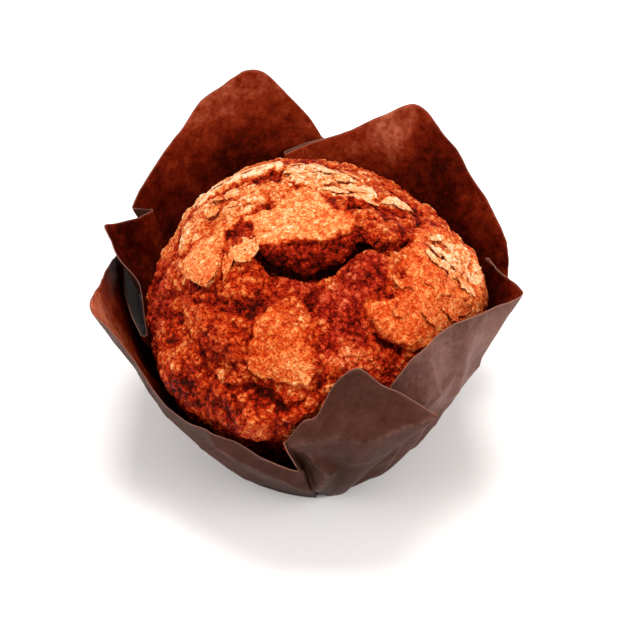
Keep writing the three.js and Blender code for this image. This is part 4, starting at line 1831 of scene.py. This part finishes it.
    def crumple(self, points: Array) -> tuple[Array, Array]:
        """Works out how far the handled paper is pushed in or out.

        Dents are broad hills. Upright folds are hills that are stretched upwards. Creases are
        the borders of a packing of cells. The named folds are roofs with a sharp ridge. All fade
        towards the foot.

        Args:
            points: places on the wall's middle surface, by row and column.

        Returns:
            The push at each point, and the painted highlight there: a narrow bell along each ridge.
        """
        flat = points.reshape(-1, 3)
        stretched = flat * np.array([1.0, 1.0, self.upright_stretch])
        dents = self.dent_depth * noise(flat, self.dent_size, 301, 2)
        folds = self.upright_depth * noise(stretched, self.upright_size, 311, 2)
        border = pebbles(flat, self.crease_size, 331).border
        creases = self.crease_depth * (1.0 - ease(0.0, 0.14, border))
        azimuth = np.degrees(np.arctan2(flat[:, 1], flat[:, 0]))
        around = np.where(azimuth > self.map_seam, azimuth - 360.0, azimuth)
        spots = np.stack([self.degree_width * around, flat[:, 2]], axis=1)
        pressed = np.zeros(len(flat))
        ridge_highlight = np.zeros(len(flat))
        for fold in paper_folds():
            path = [(self.degree_width * turn, height) for turn, height in fold.path]
            distance, _ = path_distance(spots, path)
            level = np.interp(spots[:, 0], *zip(*sorted(path)))
            width = np.where(spots[:, 1] > level, fold.above, fold.below)
            pressed = np.maximum(pressed, fold.rise * np.maximum(1.0 - distance / width, 0.0))
            # Painted highlight along the fold's ridge.
            ridge_highlight = np.maximum(ridge_highlight, np.exp(-((distance / self.ridge_highlight_width) ** 2)))
        push = ease(1.0, 30.0, flat[:, 2]) * (dents + folds + creases)
        push = push + ease(0.5, 8.0, flat[:, 2]) * pressed
        return push.reshape(points.shape[:2]), ridge_highlight.reshape(points.shape[:2])

    def build(self, cake: Cake) -> bpy.types.Object:
        """Makes the folded sheet: two skins round one middle surface, joined at the rim.

        The foot is closed by a fan in each skin. A skin is the middle surface moved along its
        normals by half the thickness.

        Args:
            cake: the cake inside.

        Returns:
            The paper's piece.
        """
        columns = self.columns()
        wall = self.wall_points(columns, cake)
        outward = wall * np.array([1.0, 1.0, 0.0])
        outward /= np.linalg.norm(outward, axis=2, keepdims=True)
        push, ridge_highlight = self.crumple(wall)
        wall = wall + push[..., None] * outward
        foot = [wall[:1] * np.array([share, share, 1.0]) for share in self.foot_rings]
        middle = np.concatenate([*foot, wall])
        normal = surface_normals(middle, wrap=True)
        rows, count = middle.shape[:2]
        lowest = 0.5 * self.thickness
        middle[..., 2] = np.maximum(middle[..., 2], lowest)
        size = 1 + rows * count
        edge = np.zeros(wall.shape[:2])
        edge[-1] = 1.0
        dry, outside_painted_light = self.soak_and_painted_light(columns)
        marks = {"outside": np.repeat([float(skin is Skin.OUTSIDE) for skin in Skin], size)}
        for name, values in (("edge", edge), ("ridge_highlight", ridge_highlight), ("dry", dry), ("outside_painted_light", outside_painted_light)):
            values = np.pad(values, ((rows - len(values), 0), (0, 0)))
            marks[name] = np.tile(np.append(0.0, values), len(Skin))
        points = []
        for skin in Skin:
            points += [[[0.0, 0.0, lowest - skin.value * self.thickness]],
                       (middle + skin.value * self.thickness * normal).reshape(-1, 3)]
        here = np.arange(count)
        beside = (here + 1) % count
        outer = grid_quads(rows, count, wrap=True, first=1)
        inner = grid_quads(rows, count, wrap=True, first=1 + size)[:, ::-1]
        rim = 1 + (rows - 1) * count
        strip = np.stack([rim + here, rim + beside, size + rim + beside, size + rim + here], axis=1)
        fans = np.stack([
            np.concatenate([np.zeros(count, int), np.full(count, size)]),
            np.concatenate([1 + beside, size + 1 + here]),
            np.concatenate([1 + here, size + 1 + beside])], axis=1)
        return make_piece("wrapper_paper", np.concatenate(points), [outer, inner, strip, fans], marks)

    def dress(self, piece: bpy.types.Object, material: bpy.types.Material,
              cake: bpy.types.Object) -> None:
        """Gives the paper its material and its place in the frame.

        Args:
            piece: the paper.
            material: the paper's finish.
            cake: the cake's piece, which the paper rests on. Not used.
        """
        piece.data.materials.append(material)
        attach(piece, "root")
        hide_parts("paper_wrapper")


# ---- the studio ------------------------------------------------------------


@dataclass
class Studio:
    """A pale floor, soft lights and the camera.

    Attributes:
        aim: the point that camera and lights face.
        elevation: how far the camera looks down, in degrees.
        distance: from the camera to the aim.
        lens: the camera's focal length.
        floor_size: side of the floor, in metres.
        floor_colour: the floor's linear colour.
        walls: the room's colour up to a low height.
        ceiling: its colour high up.
        room_light: how bright the room is.
    """

    aim: tuple[float, float, float] = (0.45, -1.3, 36.75)
    elevation: float = 46.0
    distance: float = 330.0
    lens: float = 85.0
    floor_size: float = 6.0
    floor_colour: tuple[float, float, float, float] = (0.78, 0.75, 0.73, 1.0)
    walls: Colour = (255, 255, 255)
    ceiling: Colour = (250, 250, 250)
    room_light: float = 0.74

    def floor(self) -> None:
        """Lays a plain pale floor under the cake."""
        half = 0.5 * self.floor_size / MM
        corners = np.array([(-half, -half, 0), (half, -half, 0), (half, half, 0), (-half, half, 0)])
        floor = make_piece("studio_floor", corners, [np.array([[0, 1, 2, 3]])], {})
        material, shader, surface = new_material("white_floor")
        shader.feed(surface.inputs["Base Color"], self.floor_colour)
        shader.feed(surface.inputs["Roughness"], 0.9)
        floor.data.materials.append(material)

    def light(self, name: str, place: tuple[float, float, float], size: float, power: float) -> None:
        """Adds a soft square light that faces the cake.

        Args:
            name: the light's name.
            place: where it hangs, in metres.
            size: length of its side, in metres.
            power: its power in watts.
        """
        lamp = bpy.data.lights.new(name, "AREA")
        lamp.shape = "SQUARE"
        lamp.size = size
        lamp.energy = power
        holder = bpy.data.objects.new(name, lamp)
        holder.location = place
        aim = Vector(self.aim) * MM - Vector(place)
        holder.rotation_euler = aim.to_track_quat("-Z", "Y").to_euler()
        bpy.context.scene.collection.objects.link(holder)

    def lights(self) -> None:
        """Hangs a light above and behind and a weaker one at either side, in a white room."""
        self.light("top_light", (0.0, 0.16, 0.82), 0.3, 6.6)
        self.light("right_light", (0.55, -0.2, 0.32), 0.35, 3.3)
        self.light("left_light", (-0.52, -0.2, 0.34), 0.4, 2.3)
        world = bpy.data.worlds.new("white_room")
        world.use_nodes = True
        shader = Shader(world.node_tree)
        backdrop = world.node_tree.nodes["Background"]
        direction = shader.node("ShaderNodeSeparateXYZ")
        shader.feed(direction.inputs[0], shader.node("ShaderNodeTexCoord").outputs["Generated"])
        stops = ((0.0, self.walls), (0.35, self.walls), (0.9, self.ceiling))
        shader.feed(backdrop.inputs["Color"], shader.ramp(direction.outputs["Z"], stops))
        shader.feed(backdrop.inputs["Strength"], self.room_light)
        bpy.context.scene.world = world
        bpy.context.scene.view_settings.view_transform = "Standard"

    def camera(self) -> None:
        """Sets up the camera: in front, looking down on the crown."""
        lens = bpy.data.cameras.new("camera")
        lens.lens = self.lens
        camera = bpy.data.objects.new("camera", lens)
        angle = math.radians(self.elevation)
        back = Vector((0.0, -math.cos(angle), math.sin(angle)))
        camera.location = (Vector(self.aim) + back * self.distance) * MM
        camera.rotation_euler = (-back).to_track_quat("-Z", "Y").to_euler()
        bpy.context.scene.collection.objects.link(camera)
        bpy.context.scene.camera = camera


def corners(box: tuple[Vector, Vector]) -> list[list[float]]:
    """A box's two corners as plain lists."""
    return [list(corner) for corner in box]


def main() -> None:
    """Builds the cake, the wrapper and the studio around the frame."""
    logging.basicConfig(level=logging.INFO)
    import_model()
    studio = Studio()
    studio.camera()
    studio.lights()
    studio.floor()
    grain = grain_group()
    cake = Cake()
    wrapper = Wrapper()
    crust = BakedFinish().material(grain)
    cake_piece = cake.build(wrapper)
    cake.dress(cake_piece, crust)
    LOG.info("%s: %d faces", cake_piece.name, len(cake_piece.data.polygons))
    flakes = Flakes()
    flake_piece = flakes.build(cake)
    flakes.dress(flake_piece, crust)
    LOG.info("%s: %d faces", flake_piece.name, len(flake_piece.data.polygons))
    paper = wrapper.build(cake)
    wrapper.dress(paper, PaperFinish().material(grain), cake_piece)
    LOG.info("%s: %d faces", paper.name, len(paper.data.polygons))


if __name__ == "__main__":
    main()
